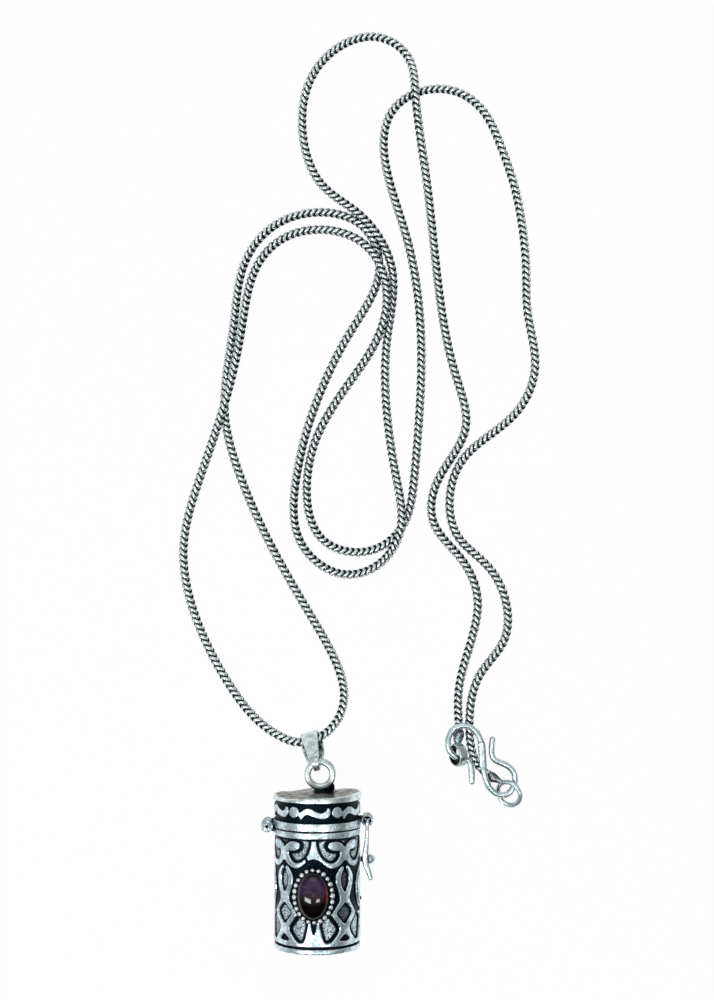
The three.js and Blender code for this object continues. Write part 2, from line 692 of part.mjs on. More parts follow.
// The latch wire runs through its knuckle, turns down in front of it and passes over the knob.
function latchWire() {
  const back = LATCH_KNUCKLE_LENGTH / 2 + TOUCH_GAP;
  const front = back + LATCH_WIRE;
  const overKnob = KNOB_RADIUS + TOUCH_GAP + LATCH_WIRE;
  const reach = LATCH_Y - KNOB_HEIGHT;
  const points = [
    [LATCH_X, LATCH_Y, -back],
    [LATCH_X, LATCH_Y, 0],
    [LATCH_X, LATCH_Y, back - 0.1],
    [LATCH_X, LATCH_Y - 0.14, front - 0.06],
    [LATCH_X, LATCH_Y - 0.5, front],
    [LATCH_X - 0.02, LATCH_Y - 0.28 * reach, front],
    [LATCH_X - 0.25, LATCH_Y - 0.74 * reach, overKnob + 0.08],
    [LATCH_X - 0.42, LATCH_Y - 0.97 * reach, overKnob],
    [LATCH_X - 0.2, LATCH_Y - 1.12 * reach, overKnob + 0.02],
    [LATCH_X + 0.2, LATCH_Y - 1.27 * reach, overKnob + 0.05],
    [LATCH_X + 0.7, LATCH_Y - 1.5 * reach, overKnob + 0.1],
  ];
  return wireAlong(points.map((p) => new THREE.Vector3(...p)), LATCH_WIRE, 2);
}

// The bail: one strap folded into a drop-shaped loop, with the hanging ring at its narrow end
// and the chain in its round end, which rests on the table.
function bailStrap(pivot) {
  const ringRadius = HANGER_WIRE + BAIL_RING_PLAY + BAIL_STRAP;
  const restHeight = BAIL_LOOP_RADIUS + SOLDER_GAP;
  const tilt = Math.asin((pivot.z - restHeight) / BAIL_SPAN);
  const yaw = THREE.MathUtils.degToRad(BAIL_YAW);
  const along = new THREE.Vector3(
    -Math.sin(yaw) * Math.cos(tilt),
    Math.cos(yaw) * Math.cos(tilt),
    -Math.sin(tilt),
  );
  const across = new THREE.Vector3(Math.cos(yaw), Math.sin(yaw), 0);
  const up = across.clone().cross(along);
  const tangent = Math.acos((ringRadius - BAIL_LOOP_RADIUS) / BAIL_SPAN);
  // Stations round the loop: [distance of the arc's centre, outer radius, angle]
  const stations = [];
  const arc = (centre, radius, from, to, steps) => {
    for (let i = 0; i <= steps; i++) stations.push([centre, radius, from + ((to - from) * i) / steps]);
  };
  const blend = (angle, steps, forward) => {
    for (let i = 1; i < steps; i++) {
      const share = forward ? i / steps : 1 - i / steps;
      const radius = ringRadius + (BAIL_LOOP_RADIUS - ringRadius) * share;
      stations.push([BAIL_SPAN * share, radius, angle]);
    }
  };
  arc(0, ringRadius, Math.PI, tangent, 4);
  blend(tangent, 4, true);
  arc(BAIL_SPAN, BAIL_LOOP_RADIUS, tangent, -tangent, 14);
  blend(-tangent, 4, false);
  arc(0, ringRadius, -tangent, -Math.PI, 4);
  stations.pop();
  const place = ([centre, radius, angle], inset, side) =>
    pivot
      .clone()
      .addScaledVector(along, centre + (radius - inset) * Math.cos(angle))
      .addScaledVector(up, (radius - inset) * Math.sin(angle))
      .addScaledVector(across, side);
  const lengths = stations.map((station, i) => {
    const previous = stations[(i + stations.length - 1) % stations.length];
    return i === 0 ? 0 : place(station, 0, 0).distanceTo(place(previous, 0, 0));
  });
  const closing = place(stations[0], 0, 0).distanceTo(place(stations[stations.length - 1], 0, 0));
  const whole = lengths.reduce((sum, length) => sum + length, 0) + closing;
  let walked = 0;
  const rings = stations.map((station, i) => {
    walked += lengths[i];
    const share = walked / whole;
    const next = BAIL_WIDTHS.findIndex(([at]) => at > share);
    const [[a, widthA], [b, widthB]] = [BAIL_WIDTHS[next - 1], BAIL_WIDTHS[next]];
    const half = (widthA + ((widthB - widthA) * (share - a)) / (b - a)) / 2;
    return [
      place(station, 0, -half),
      place(station, 0, half),
      place(station, BAIL_STRAP, half),
      place(station, BAIL_STRAP, -half),
    ];
  });
  return closedLoft(rings);
}

// Chain, caps and clasp
const onTable = ([x, y, z = CHAIN_RADIUS + 0.005]) => new THREE.Vector3(x, y, z);

function chainHalf(route) {
  return wireAlong(route.map(onTable), CHAIN_RADIUS, 1, CHAIN_SIDES);
}

// A cap: a short cup on the chain's end that narrows to a nose seated on the ring. It starts
// just clear of the chain's flat end, to which it stands at a slight angle.
function endCap(route, ringPoint, ringRoom) {
  const [before, chainEnd] = route.slice(-2).map(onTable);
  const reach = ringPoint.clone().sub(chainEnd);
  const lean = reach.angleTo(chainEnd.clone().sub(before));
  const gap = SOLDER_GAP + CAP_RADIUS * Math.tan(lean);
  const length = reach.length() - gap;
  reach.normalize();
  const profile = [
    [0, 0],
    [CAP_RADIUS * 0.94, 0],
    [CAP_RADIUS, 0.12],
    [CAP_RADIUS, length * 0.45],
    [CAP_RADIUS * 0.9, length * 0.65],
    [CAP_NOSE_RADIUS + 0.15, length * 0.88],
    [CAP_NOSE_RADIUS, length],
    [0, length],
  ];
  const turn = new THREE.Quaternion().setFromUnitVectors(new THREE.Vector3(0, 1, 0), reach);
  const start = chainEnd.clone().addScaledVector(reach, gap);
  const cap = turned(profile, SMALL_SIDES).applyQuaternion(turn).translate(...start.toArray());
  return cut(cap, [ringRoom]);
}

function onBandRing(geometry) {
  const turn = new THREE.Quaternion().setFromUnitVectors(new THREE.Vector3(0, 1, 0), BAND_RING_AXIS);
  return geometry.applyQuaternion(turn).translate(...BAND_RING_CENTRE.toArray());
}

function bandRingRoom() {
  const radius = BAND_RING_RADIUS + SOLDER_GAP;
  const half = BAND_RING_WIDTH / 2 + SOLDER_GAP;
  return onBandRing(turned([[0, -half], [radius, -half], [radius, half], [0, half]], RING_SIDES));
}

function bandRing() {
  const half = BAND_RING_WIDTH / 2;
  const bevel = 0.15;
  const inner = BAND_RING_RADIUS - BAND_RING_WALL;
  const band = turned(
    [
      [inner, -half + bevel],
      [inner + bevel, -half],
      [BAND_RING_RADIUS - bevel, -half],
      [BAND_RING_RADIUS, -half + bevel],
      [BAND_RING_RADIUS, half - bevel],
      [BAND_RING_RADIUS - bevel, half],
      [inner + bevel, half],
      [inner, half - bevel],
      [inner, -half + bevel],
    ],
    RING_SIDES,
  );
  return onBandRing(band);
}

// The ring of round wire lies low at its lower left and rises to the upper right.
function wireRing(clearance = 0) {
  const tilt = THREE.MathUtils.degToRad(WIRE_RING_TILT);
  const wire = WIRE_RING_WIRE + clearance;
  const ring = outward(new THREE.TorusGeometry(WIRE_RING_RADIUS, wire, 10, RING_SIDES));
  const turn = new THREE.Quaternion().setFromAxisAngle(WIRE_RING_LEAN, tilt);
  return ring.applyQuaternion(turn).translate(...WIRE_RING_CENTRE.toArray());
}

function sHook() {
  const wire = wireAlong(HOOK_ROUTE.map(onTable), HOOK_WIRE);
  const [[topX, topY], [lowX, lowY]] = HOOK_BAR;
  const ramp = 0.8;
  const p = wire.attributes.position;
  for (let i = 0; i < p.count; i++) {
    const share = (topY - p.getY(i)) / (topY - lowY);
    const barX = topX + (lowX - topX) * share;
    if (Math.abs(p.getX(i) - barX) > 2 * HOOK_WIRE) continue;
    const inside = Math.min(share, 1 - share) * (topY - lowY);
    const amount = THREE.MathUtils.smoothstep(inside, -ramp / 2, ramp / 2);
    const wide = 1 + (HOOK_BAR_WIDENING - 1) * amount;
    const thin = 1 + (HOOK_BAR_THINNING - 1) * amount;
    const barZ = HOOK_ROUTE[18][2];
    p.setX(i, barX + (p.getX(i) - barX) * wide);
    p.setZ(i, barZ + (p.getZ(i) - barZ) * thin);
  }
  return wire;
}

const locket = new THREE.Group();
locket.add(...casePieces(), ...settingPieces(), ...hingePieces(), ...lidPieces());
locket.add(mesh("latch_wire", latchWire(), "silver"));
locket.position.z = AXIS_HEIGHT;

const place = THREE.MathUtils.degToRad(BAIL_PLACE_ON_RING);
const bailPivot = HANGER_CENTRE.clone().add(
  new THREE.Vector3(HANGER_RADIUS * Math.cos(place), HANGER_RADIUS * Math.sin(place), AXIS_HEIGHT),
);
const pendant = new THREE.Group();
pendant.add(locket, mesh("bail", bailStrap(bailPivot), "silver"));

const leftEnd = onTable(LEFT_ROUTE[LEFT_ROUTE.length - 1]);
const wireRingSide = WIRE_RING_CENTRE.clone().addScaledVector(WIRE_RING_LEAN, -WIRE_RING_RADIUS);
const leftReach = wireRingSide.clone().sub(leftEnd);
leftReach.setLength(leftReach.length() - WIRE_RING_WIRE).add(leftEnd);
const chain = new THREE.Group();
chain.add(
  mesh("chain_left", chainHalf(LEFT_ROUTE), "chain"),
  mesh("chain_right", chainHalf(RIGHT_ROUTE), "chain"),
  mesh("end_cap_left", endCap(LEFT_ROUTE, leftReach, wireRing(SOLDER_GAP)), "silver"),
  mesh("end_cap_right", endCap(RIGHT_ROUTE, BAND_RING_SOLDER, bandRingRoom()), "silver"),
  mesh("band_ring", bandRing(), "silver"),
  mesh("wire_ring", wireRing(), "silver"),
  mesh("s_hook", sHook(), "silver"),
);
chain.position.y = CHAIN_START;

// The origin lies under the middle of the locket with its bail, on the table.
const necklace = new THREE.Group();
necklace.add(pendant, chain);
const box = new THREE.Box3().setFromObject(pendant);
necklace.position.set(-(box.min.x + box.max.x) / 2, -(box.min.y + box.max.y) / 2, -box.min.z);

export default necklace;
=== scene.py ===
"""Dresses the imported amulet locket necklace: a pierced silver locket with a garnet, on its snake chain."""

import logging
from dataclasses import dataclass, field
from enum import Enum
from typing import Callable, Sequence

import bpy
import numpy as np
from mathutils import Matrix, Vector


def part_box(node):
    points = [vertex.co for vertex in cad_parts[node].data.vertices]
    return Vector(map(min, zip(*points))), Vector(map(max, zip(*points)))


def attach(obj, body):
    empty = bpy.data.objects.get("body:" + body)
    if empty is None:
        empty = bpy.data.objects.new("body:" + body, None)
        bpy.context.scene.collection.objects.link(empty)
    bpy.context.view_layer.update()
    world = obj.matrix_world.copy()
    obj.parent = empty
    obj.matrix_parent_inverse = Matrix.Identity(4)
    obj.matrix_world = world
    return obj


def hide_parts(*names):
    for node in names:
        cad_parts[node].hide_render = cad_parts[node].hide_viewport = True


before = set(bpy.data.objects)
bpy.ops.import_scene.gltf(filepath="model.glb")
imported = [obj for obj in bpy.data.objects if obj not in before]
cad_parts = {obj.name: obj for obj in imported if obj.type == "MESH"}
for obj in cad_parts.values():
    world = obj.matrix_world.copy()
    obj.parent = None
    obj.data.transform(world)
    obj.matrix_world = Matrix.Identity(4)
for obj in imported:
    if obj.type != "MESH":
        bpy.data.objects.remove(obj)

LOG = logging.getLogger("locket")
MM = 0.001
Array = np.ndarray
Points = Sequence[Sequence[float]]


class Ends(Enum):
    """How a row of rings is finished."""

    CAPPED = "a fan closes the first and the last ring"
    JOINED = "the last ring is joined to the first"


class Body(str, Enum):
    """The moving bodies of the model."""

    CHAIN = "chain"
    HOOK = "hook"
    BAIL = "bail_strap"
    LID = "lid"
    CASE = "case"
    LATCH = "latch"


# Small tools on arrays


def unit(vectors: Array) -> Array:
    """Vectors divided by their lengths."""
    return vectors / np.maximum(np.linalg.norm(vectors, axis=-1, keepdims=True), 1e-12)


def ease(low: float, high: float, value: Array) -> Array:
    """0 below low, 1 above high and s * s * (3 - 2 * s) between them."""
    share = np.clip((value - low) / (high - low), 0.0, 1.0)
    return share * share * (3.0 - 2.0 * share)


def ripple(seed: int, cells: tuple[int, int], u: Array, v: Array) -> Array:
    """Smooth noise from -1 to 1 that repeats in u and v.

    A table of random values is read at (u, v) times the number of cells, eased between its entries.

    Args:
        seed: Picks the table.
        cells: Entries of the table along u and v.
        u, v: Places from 0 to 1.
    Returns:
        The noise, in the shape that u and v broadcast to.
    """
    table = np.random.default_rng(seed).uniform(-1.0, 1.0, cells)
    a, b = np.broadcast_arrays(u * cells[0], v * cells[1])
    i, j = np.floor(a).astype(int), np.floor(b).astype(int)
    s, t = ease(0.0, 1.0, a - i), ease(0.0, 1.0, b - j)
    i0, j0, i1, j1 = i % cells[0], j % cells[1], (i + 1) % cells[0], (j + 1) % cells[1]
    low = table[i0, j0] * (1 - t) + table[i0, j1] * t
    high = table[i1, j0] * (1 - t) + table[i1, j1] * t
    return low * (1 - s) + high * s


def softened(outline: Points, rounds: int = 2) -> Array:
    """A closed outline whose corners are cut at a quarter and three quarters of each side, rounds times."""
    corners = np.asarray(outline, float)
    for _ in range(rounds):
        after = np.roll(corners, -1, axis=0)
        corners = np.stack([0.75 * corners + 0.25 * after, 0.25 * corners + 0.75 * after], 1).reshape(-1, 2)
    return corners


def outline_distance(places: Array, outline: Array) -> Array:
    """Distance from each place to a closed outline, negative inside it.

    It is the least distance to a side; a place is inside when a line from it crosses an odd number of sides.

    Args:
        places: (n, 2) places.
        outline: (k, 2) corners.
    Returns:
        (n,) distances.
    """
    start, end = outline, np.roll(outline, -1, axis=0)
    side, reach = end - start, places[:, None] - start
    share = np.clip((reach * side).sum(-1) / np.maximum((side**2).sum(-1), 1e-12), 0.0, 1.0)
    distance = np.linalg.norm(reach - share[..., None] * side, axis=-1).min(1)
    spans = (start[:, 1] > places[:, 1:]) != (end[:, 1] > places[:, 1:])
    slope = side[:, 0] / np.where(side[:, 1] == 0, 1e-12, side[:, 1])
    crossed = spans & (places[:, :1] < start[:, 0] + slope * (places[:, 1:] - start[:, 1]))
    return np.where(crossed.sum(1) % 2 == 1, -distance, distance)


def filleted(profile: Points, radius: float, steps: int = 4) -> Array:
    """An open profile with each inner corner replaced by a short curve.

    Each curve is the parabola between the points that lie radius before and after the corner.
    """
    corners = np.asarray(profile, float)
    rows = [corners[:1]]
    share = np.linspace(0.0, 1.0, steps + 1)[:, None]
    for before, corner, after in zip(corners[:-2], corners[1:-1], corners[2:]):
        lengths = np.linalg.norm(before - corner), np.linalg.norm(after - corner)
        back, on = (min(radius, 0.45 * length) / length for length in lengths)
        start, end = corner + (before - corner) * back, corner + (after - corner) * on
        rows.append((1 - share) ** 2 * start + 2 * share * (1 - share) * corner + share**2 * end)
    return np.vstack([*rows, corners[-1:]])


def divided(profile: Array, longest: float) -> Array:
    """The same profile with points added so that no step is over longest."""
    rows = [profile[:1]]
    for start, end in zip(profile[:-1], profile[1:]):
        count = max(1, int(np.ceil(np.linalg.norm(end - start) / longest)))
        rows.append(start + (end - start) * (np.arange(1, count + 1) / count)[:, None])
    return np.vstack(rows)


def spline(points: Points, step: float) -> Array:
    """A smooth curve through points, with its second differences solved so that its bend never jumps.

    The parameter grows by each chord to the power 0.75. Between two points the curve is the cubic with
    the solved second derivatives, which are zero at both ends.

    Args:
        points: (n, 3) places.
        step: About the distance between the returned places.
    Returns:
        (m, 3) places along the curve.
    """
    place = np.asarray(points, float)
    count = len(place)
    gap = np.linalg.norm(np.diff(place, axis=0), axis=1)
    width = gap**0.75
    slope = np.diff(place, axis=0) / width[:, None]
    matrix, right = np.eye(count), np.zeros((count, 3))
    inner = np.arange(1, count - 1)
    matrix[inner, inner - 1], matrix[inner, inner + 1] = width[:-1], width[1:]
    matrix[inner, inner] = 2 * (width[:-1] + width[1:])
    right[inner] = 6 * (slope[1:] - slope[:-1])
    bend = np.linalg.solve(matrix, right)
    rows = []
    for i in range(count - 1):
        s = np.linspace(0.0, 1.0, max(2, int(np.ceil(gap[i] / step)) + 1))[:-1, None]
        a = 1 - s
        cubic = ((a**3 - a) * bend[i] + (s**3 - s) * bend[i + 1]) * width[i] ** 2 / 6
        rows.append(a * place[i] + s * place[i + 1] + cubic)
    return np.vstack([*rows, place[-1:]])


@dataclass
class Track:
    """A line with its lengths and its frame, read anywhere along it."""

    line: Array
    reference: Array

    def __post_init__(self) -> None:
        """Works out the lengths, the tangents, and normals that lean towards the reference."""
        steps = np.linalg.norm(np.diff(self.line, axis=0), axis=1)
        self.lengths = np.concatenate([[0.0], np.cumsum(steps)])
        self.tangents = unit(np.gradient(self.line, self.lengths, axis=0))
        along = (self.tangents @ self.reference)[:, None]
        self.normals = unit(self.reference - along * self.tangents)

    @property
    def length(self) -> float:
        """The whole length."""
        return float(self.lengths[-1])

    def read(self, at: Array) -> tuple[Array, Array, Array, Array]:
        """Place, tangent, normal and side at lengths along the line, each interpolated.

        Args:
            at: Lengths of any shape.
        Returns:
            Four arrays of that shape and three.
        """
        def pick(table: Array) -> Array:
            return np.stack([np.interp(at, self.lengths, table[:, k]) for k in range(3)], -1)

        tangent = unit(pick(self.tangents))
        normal = pick(self.normals)
        normal = unit(normal - (normal * tangent).sum(-1, keepdims=True) * tangent)
        return pick(self.line), tangent, normal, np.cross(tangent, normal)


# The place of the locket in the model


@dataclass(frozen=True)
class Placement:
    """Turns millimetres in the locket's own layout into metres in the model.

    x counts from the locket's axis, y from the base's outer face and z from the table.
    """

    axis_x: float
    base_y: float
    axis_z: float

    @classmethod
    def from_frame(cls) -> "Placement":
        """Reads the axis and the base from the model's base disc."""
        low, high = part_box("case_base")
        return cls((low[0] + high[0]) / 2, low[1], (low[2] + high[2]) / 2)

    @property
    def axis(self) -> float:
        """Height of the locket's axis over the table, in millimetres."""
        return self.axis_z / MM

    def metres(self, places: Array) -> Array:
        """Places in the model, in metres."""
        return np.asarray(places, float) * MM + np.array([self.axis_x, self.base_y, 0.0])


PLACE = Placement.from_frame()
CHAIN_START = np.array([0.0, 1.45, 0.0])


# Making a piece from rings of points


def ring_faces(rings: int, sides: int, ends: Ends) -> tuple[Array, Array]:
    """Faces between neighbouring rings, and the fans over the first and last ring.

    Args:
        rings, sides: Number of rings and of points in each.
        ends: Whether the rings close on themselves.
    Returns:
        (n, 4) and (m, 3) vertex numbers; a fan's middle comes after the rings' points.
    """
    row = np.arange(rings if ends is Ends.JOINED else rings - 1)[:, None]
    column = np.arange(sides)[None]
    above, beside = (row + 1) % rings, (column + 1) % sides
    corners = [row * sides + column, row * sides + beside, above * sides + beside, above * sides + column]
    quads = np.stack(np.broadcast_arrays(*corners), -1).reshape(-1, 4)
    if ends is Ends.JOINED:
        return quads, np.zeros((0, 3), int)
    turn, after = np.arange(sides), (np.arange(sides) + 1) % sides
    first = np.stack([np.full(sides, rings * sides), after, turn], 1)
    last = np.stack([np.full(sides, rings * sides + 1), turn, after], 1)
    last[:, 1:] += (rings - 1) * sides
    return quads, np.vstack([first, last])


class Piece:
    """One object of the scene, gathered from closed shells."""

    def __init__(self, name: str) -> None:
        """Starts an empty piece of that name."""
        self.name = name
        self.points: list[Array] = []
        self.quads: list[Array] = []
        self.fans: list[Array] = []
        self.marks: dict[str, list[Array]] = {"relief": [], "patch": []}
        self.count = 0

    def add(self, rings: Array, ends: Ends = Ends.CAPPED, relief: Array | float = 1.0,
            patch: Array | float = 0.0) -> "Piece":
        """Adds one shell, or many alike, whose faces are turned outwards.

        Args:
            rings: (rings, sides, 3) or (shells, rings, sides, 3) places in millimetres.
            ends: How each shell is closed.
            relief: How far each point stands out of the blackened ground, 0 to 1; on wires, the chain and the
                hanging ring it also carries painted shade on their undersides and sides.
            patch: How brightly the ground shows through there, 0 to 1; on the lid's top it marks the face that
                takes a painted reflection tone.
        Returns:
            The piece.
        """
        rings = rings if rings.ndim == 4 else rings[None]
        shells, rows, sides = rings.shape[:3]
        flat = rings.reshape(shells, rows * sides, 3)
        marks = {
            "relief": np.broadcast_to(relief, rings.shape[:3]).reshape(shells, -1),
            "patch": np.broadcast_to(patch, rings.shape[:3]).reshape(shells, -1),
        }
        if ends is Ends.CAPPED:
            flat = np.concatenate([flat, rings[:, [0, -1]].mean(2)], 1)
            for name, values in marks.items():
                last = values[:, [0, -1]]
                marks[name] = np.concatenate([values, last], 1)
        quads, fans = ring_faces(rows, sides, ends)
        first = flat[0]
        volume = sum(
            np.einsum("ij,ij->i", first[f[:, 0]], np.cross(first[f[:, 1]], first[f[:, 2]])).sum()
            for f in (quads[:, [0, 1, 2]], quads[:, [0, 2, 3]], fans) if len(f)
        )
        if volume < 0:
            quads, fans = quads[:, ::-1], fans[:, ::-1]
        start = self.count + np.arange(shells)[:, None, None] * flat.shape[1]
        self.quads.append((quads[None] + start).reshape(-1, 4))
        self.fans.append((fans[None] + start).reshape(-1, 3))
        self.points.append(flat.reshape(-1, 3))
        for name, values in marks.items():
            self.marks[name].append(values.reshape(-1))
        self.count += flat.shape[0] * flat.shape[1]
        return self

    def build(self, body: Body, slot: str, material: bpy.types.Material, *nodes: str,
              sharp: float = 42.0) -> bpy.types.Object:
        """Makes the object, dresses it and ties it to its body.

        Args:
            body: The body that it moves with.
            slot: The record's material slot; not used.
            material: Its finish.
            nodes: The nodes of the model that it stands for.
            sharp: Edges over this many degrees are shaded sharp.
        Returns:
            The object.
        """
        points = PLACE.metres(np.vstack(self.points))
        quads, fans = np.vstack(self.quads), np.vstack(self.fans)
        mesh = bpy.data.meshes.new(self.name)
        corners = np.concatenate([quads.ravel(), fans.ravel()]).astype(np.int32)
        sizes = np.concatenate([np.full(len(quads), 4), np.full(len(fans), 3)])
        starts = np.concatenate([[0], np.cumsum(sizes)[:-1]]).astype(np.int32)
        mesh.vertices.add(len(points))
        mesh.vertices.foreach_set("co", points.astype(np.float32).ravel())
        mesh.loops.add(len(corners))
        mesh.loops.foreach_set("vertex_index", corners)
        mesh.polygons.add(len(sizes))
        mesh.polygons.foreach_set("loop_start", starts)
        mesh.polygons.foreach_set("use_smooth", np.ones(len(sizes), bool))
        mesh.update(calc_edges=True)
        for name, values in self.marks.items():
            layer = mesh.attributes.new(name, "FLOAT", "POINT")
            layer.data.foreach_set("value", np.concatenate(values).astype(np.float32))
        mesh.set_sharp_from_angle(angle=np.radians(sharp))
        mesh.materials.append(material)
        made = bpy.data.objects.new(self.name, mesh)
        bpy.context.scene.collection.objects.link(made)
        if nodes:
            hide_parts(*nodes)
        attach(made, body.value)
        LOG.info("%s: %d faces on %s", self.name, len(sizes), body.value)
        return made


def turned(profile: Array, sides: int) -> Array:
    """Rings of a profile of (radius, y) pairs turned about the locket's axis.

    x is radius times the sine of the angle, z is the axis height plus radius times its cosine.
    """
    angle = np.linspace(0.0, 2 * np.pi, sides, endpoint=False)[None]
    radius, height = profile[:, :1], profile[:, 1:]
    return np.stack([
        radius * np.sin(angle),
        height + 0 * angle,
        PLACE.axis + radius * np.cos(angle),
    ], -1)


def hollow(inner: float, outer: float, low: float, high: float, edge: float, step: float = 1.0) -> Array:
    """The closed profile of a turned tube, its outer edges rounded by edge and its inner ones a little."""
    corners = [[inner, (low + high) / 2], [inner, low], [outer, low], [outer, high], [inner, high],
               [inner, (low + high) / 2 + 1e-4]]
    rounded = filleted(corners, edge)
    return divided(rounded, step)[:-1]


def wire(track: Track, radius: float, sides: int = 16, step: float = 0.12, wide: Callable | None = None,
         rounded: tuple[bool, bool] = (True, True)) -> Array:
    """Rings of a wire along a track, with round ends.

    Each ring is radius * (cos * normal + sin * side). Near a round end the radius follows a quarter circle.

    Args:
        track: The wire's middle.
        radius: Its radius.
        sides, step: Points round it and distance between rings.
        wide: Gives (factor along the normal, factor along the side) for lengths along the track.
        rounded: Whether the first and the last end are round.
    Returns:
        (rings, sides, 3) places.
    """
    whole = track.length
    nose = radius * (1 - np.cos(np.linspace(0.12, np.pi / 2, 5)))
    middle = np.linspace(radius, whole - radius, max(4, int(whole / step)))
    start = nose if rounded[0] else np.array([0.0])
    end = whole - nose[::-1] if rounded[1] else np.array([whole])
    at = np.unique(np.concatenate([start, middle, end]))
    size = np.full(len(at), radius)
    if rounded[0]:
        size = np.minimum(size, np.sqrt(np.clip(radius**2 - np.clip(radius - at, 0, None) ** 2, 0, None)))
    if rounded[1]:
        left = np.clip(radius - (whole - at), 0, None)
        size = np.minimum(size, np.sqrt(np.clip(radius**2 - left**2, 0, None)))
    place, _, normal, side = track.read(at)
    angle = np.linspace(0, 2 * np.pi, sides, endpoint=False)[None, :, None]
    tall, broad = wide(at) if wide else (np.ones_like(at), np.ones_like(at))
    lift = (size * tall)[:, None, None] * np.cos(angle) * normal[:, None]
    spread = (size * broad)[:, None, None] * np.sin(angle) * side[:, None]
    return place[:, None] + lift + spread


def placed(local: Array, centre: Array, axis: Array, across: Array) -> Array:
    """Local (a, b, c) places set at centre, with c along axis and a along across, made square to c."""
    c = unit(np.asarray(axis, float))
    a = unit(np.asarray(across, float) - np.dot(across, c) * c)
    b = np.cross(c, a)
    return np.asarray(centre, float) + local[..., :1] * a + local[..., 1:2] * b + local[..., 2:] * c


def ring_of(radius: float, thick: float, tall: float, sides: int = 72, around: int = 16,
            wobble: float = 0.0, seed: int = 1, power: float = 2.0) -> Array:
    """A ring round the local c axis with an oval wire.

    The wire's section is (thick * cos, tall * sin), each cosine and sine raised to 2 / power, and wobble
    times a smooth noise is added to the wire's size.
    """
    turn = np.linspace(0, 2 * np.pi, sides, endpoint=False)[:, None]
    angle = np.linspace(0, 2 * np.pi, around, endpoint=False)[None]
    c, s = np.cos(angle), np.sin(angle)
    c, s = np.sign(c) * np.abs(c) ** (2 / power), np.sign(s) * np.abs(s) ** (2 / power)
    size = 1 + wobble * ripple(seed, (9, 5), turn / (2 * np.pi), angle / (2 * np.pi))
    reach = radius + thick * size * c
    return np.stack([reach * np.cos(turn), reach * np.sin(turn), tall * size * s + 0 * turn], -1)


def painted_underside_shade(rings: Array, low: float = -0.1, high: float = 0.8) -> Array:
    """Relief marks of a wire with painted shade: 0.3 at the underside of each ring of points and 1 at its top,
    eased between, so that the underside is painted dark.
    """
    lift = rings[..., 2] - rings[..., 2].mean(-1, keepdims=True)
    reach = np.linalg.norm(rings - rings.mean(-2, keepdims=True), axis=-1).max(-1, keepdims=True)
    return 0.3 + 0.7 * ease(low, high, lift / np.maximum(reach, 1e-6))


def pearl(radius: float, rows: int = 8, sides: int = 12) -> Array:
    """A small ball about the origin: rings at equal steps of latitude."""
    tilt = np.linspace(0.12, np.pi - 0.12, rows)[:, None]
    turn = np.linspace(0, 2 * np.pi, sides, endpoint=False)[None]
    return radius * np.stack([np.sin(tilt) * np.cos(turn), np.sin(tilt) * np.sin(turn),
                              np.cos(tilt) + 0 * turn], -1)


# Finishes


class Tree:
    """A node tree with short ways to add and join nodes."""

    def __init__(self, tree: bpy.types.NodeTree) -> None:
        """Wraps the tree."""
        self.tree = tree

    def node(self, kind: str, settings: dict | None = None, **inputs: object) -> bpy.types.Node:
        """Adds a node, sets its own settings, and fills or links its inputs by name.

        Args:
            kind: The node's type.
            settings: Properties of the node.
            inputs: Values or sockets, with underscores for spaces in an input's name.
        Returns:
            The node.
        """
        made = self.tree.nodes.new(kind)
        for name, value in (settings or {}).items():
            setattr(made, name, value)
        for name, value in inputs.items():
            self.feed(made.inputs[name.replace("_", " ")], value)
        return made

    def feed(self, socket: bpy.types.NodeSocket, value: object) -> None:
        """Links a socket to another socket, or sets its value."""
        if isinstance(value, bpy.types.NodeSocket):
            self.tree.links.new(value, socket)
        else:
            socket.default_value = value

    def sums(self, operation: str, *values: object, clamp: bool = False) -> bpy.types.NodeSocket:
        """The result of a Math node on values or sockets."""
        made = self.node("ShaderNodeMath", {"operation": operation, "use_clamp": clamp})
        for socket, value in zip(made.inputs, values):
            self.feed(socket, value)
        return made.outputs[0]

    def spread(self, value: object, low: float, high: float, to_low: float = 0.0, to_high: float = 1.0,
               ) -> bpy.types.NodeSocket:
        """A smooth Map Range of a value."""
        return self.node("ShaderNodeMapRange", {"interpolation_type": "SMOOTHSTEP"}, Value=value,
                         From_Min=low, From_Max=high, To_Min=to_low, To_Max=to_high).outputs[0]

    def mixed(self, share: object, first: object, second: object) -> bpy.types.NodeSocket:
        """A colour between two colours."""
        made = self.node("ShaderNodeMix", {"data_type": "RGBA"})
        for index, value in ((0, share), (6, first), (7, second)):
            self.feed(made.inputs[index], value)
        return made.outputs[2]

    def noise(self, scale: object, detail: float = 3.0, rough: float = 0.6,
              at: object = None) -> bpy.types.NodeSocket:
        """Noise on the object's own coordinates."""
        place = at or self.node("ShaderNodeTexCoord").outputs["Object"]
        return self.node("ShaderNodeTexNoise", {}, Vector=place, Scale=scale, Detail=detail,
                         Roughness=rough).outputs["Fac"]


def group(name: str, inputs: dict[str, float], outputs: dict[str, str]) -> tuple[Tree, dict, dict]:
    """Starts a shader group with float inputs and named outputs.

    Args:
        name: Its name.
        inputs: Input names and their usual values.
        outputs: Output names and their socket types.
    Returns:
        The tree, its input sockets by name and its output node's sockets by name.
    """
    made = bpy.data.node_groups.new(name, "ShaderNodeTree")
    for title, value in inputs.items():
        socket = made.interface.new_socket(title, in_out="INPUT", socket_type="NodeSocketFloat")
        socket.default_value = value
    for title, kind in outputs.items():
        made.interface.new_socket(title, in_out="OUTPUT", socket_type=kind)
    tree = Tree(made)
    inner, outer = tree.node("NodeGroupInput"), tree.node("NodeGroupOutput")
    return tree, inner.outputs, outer.inputs


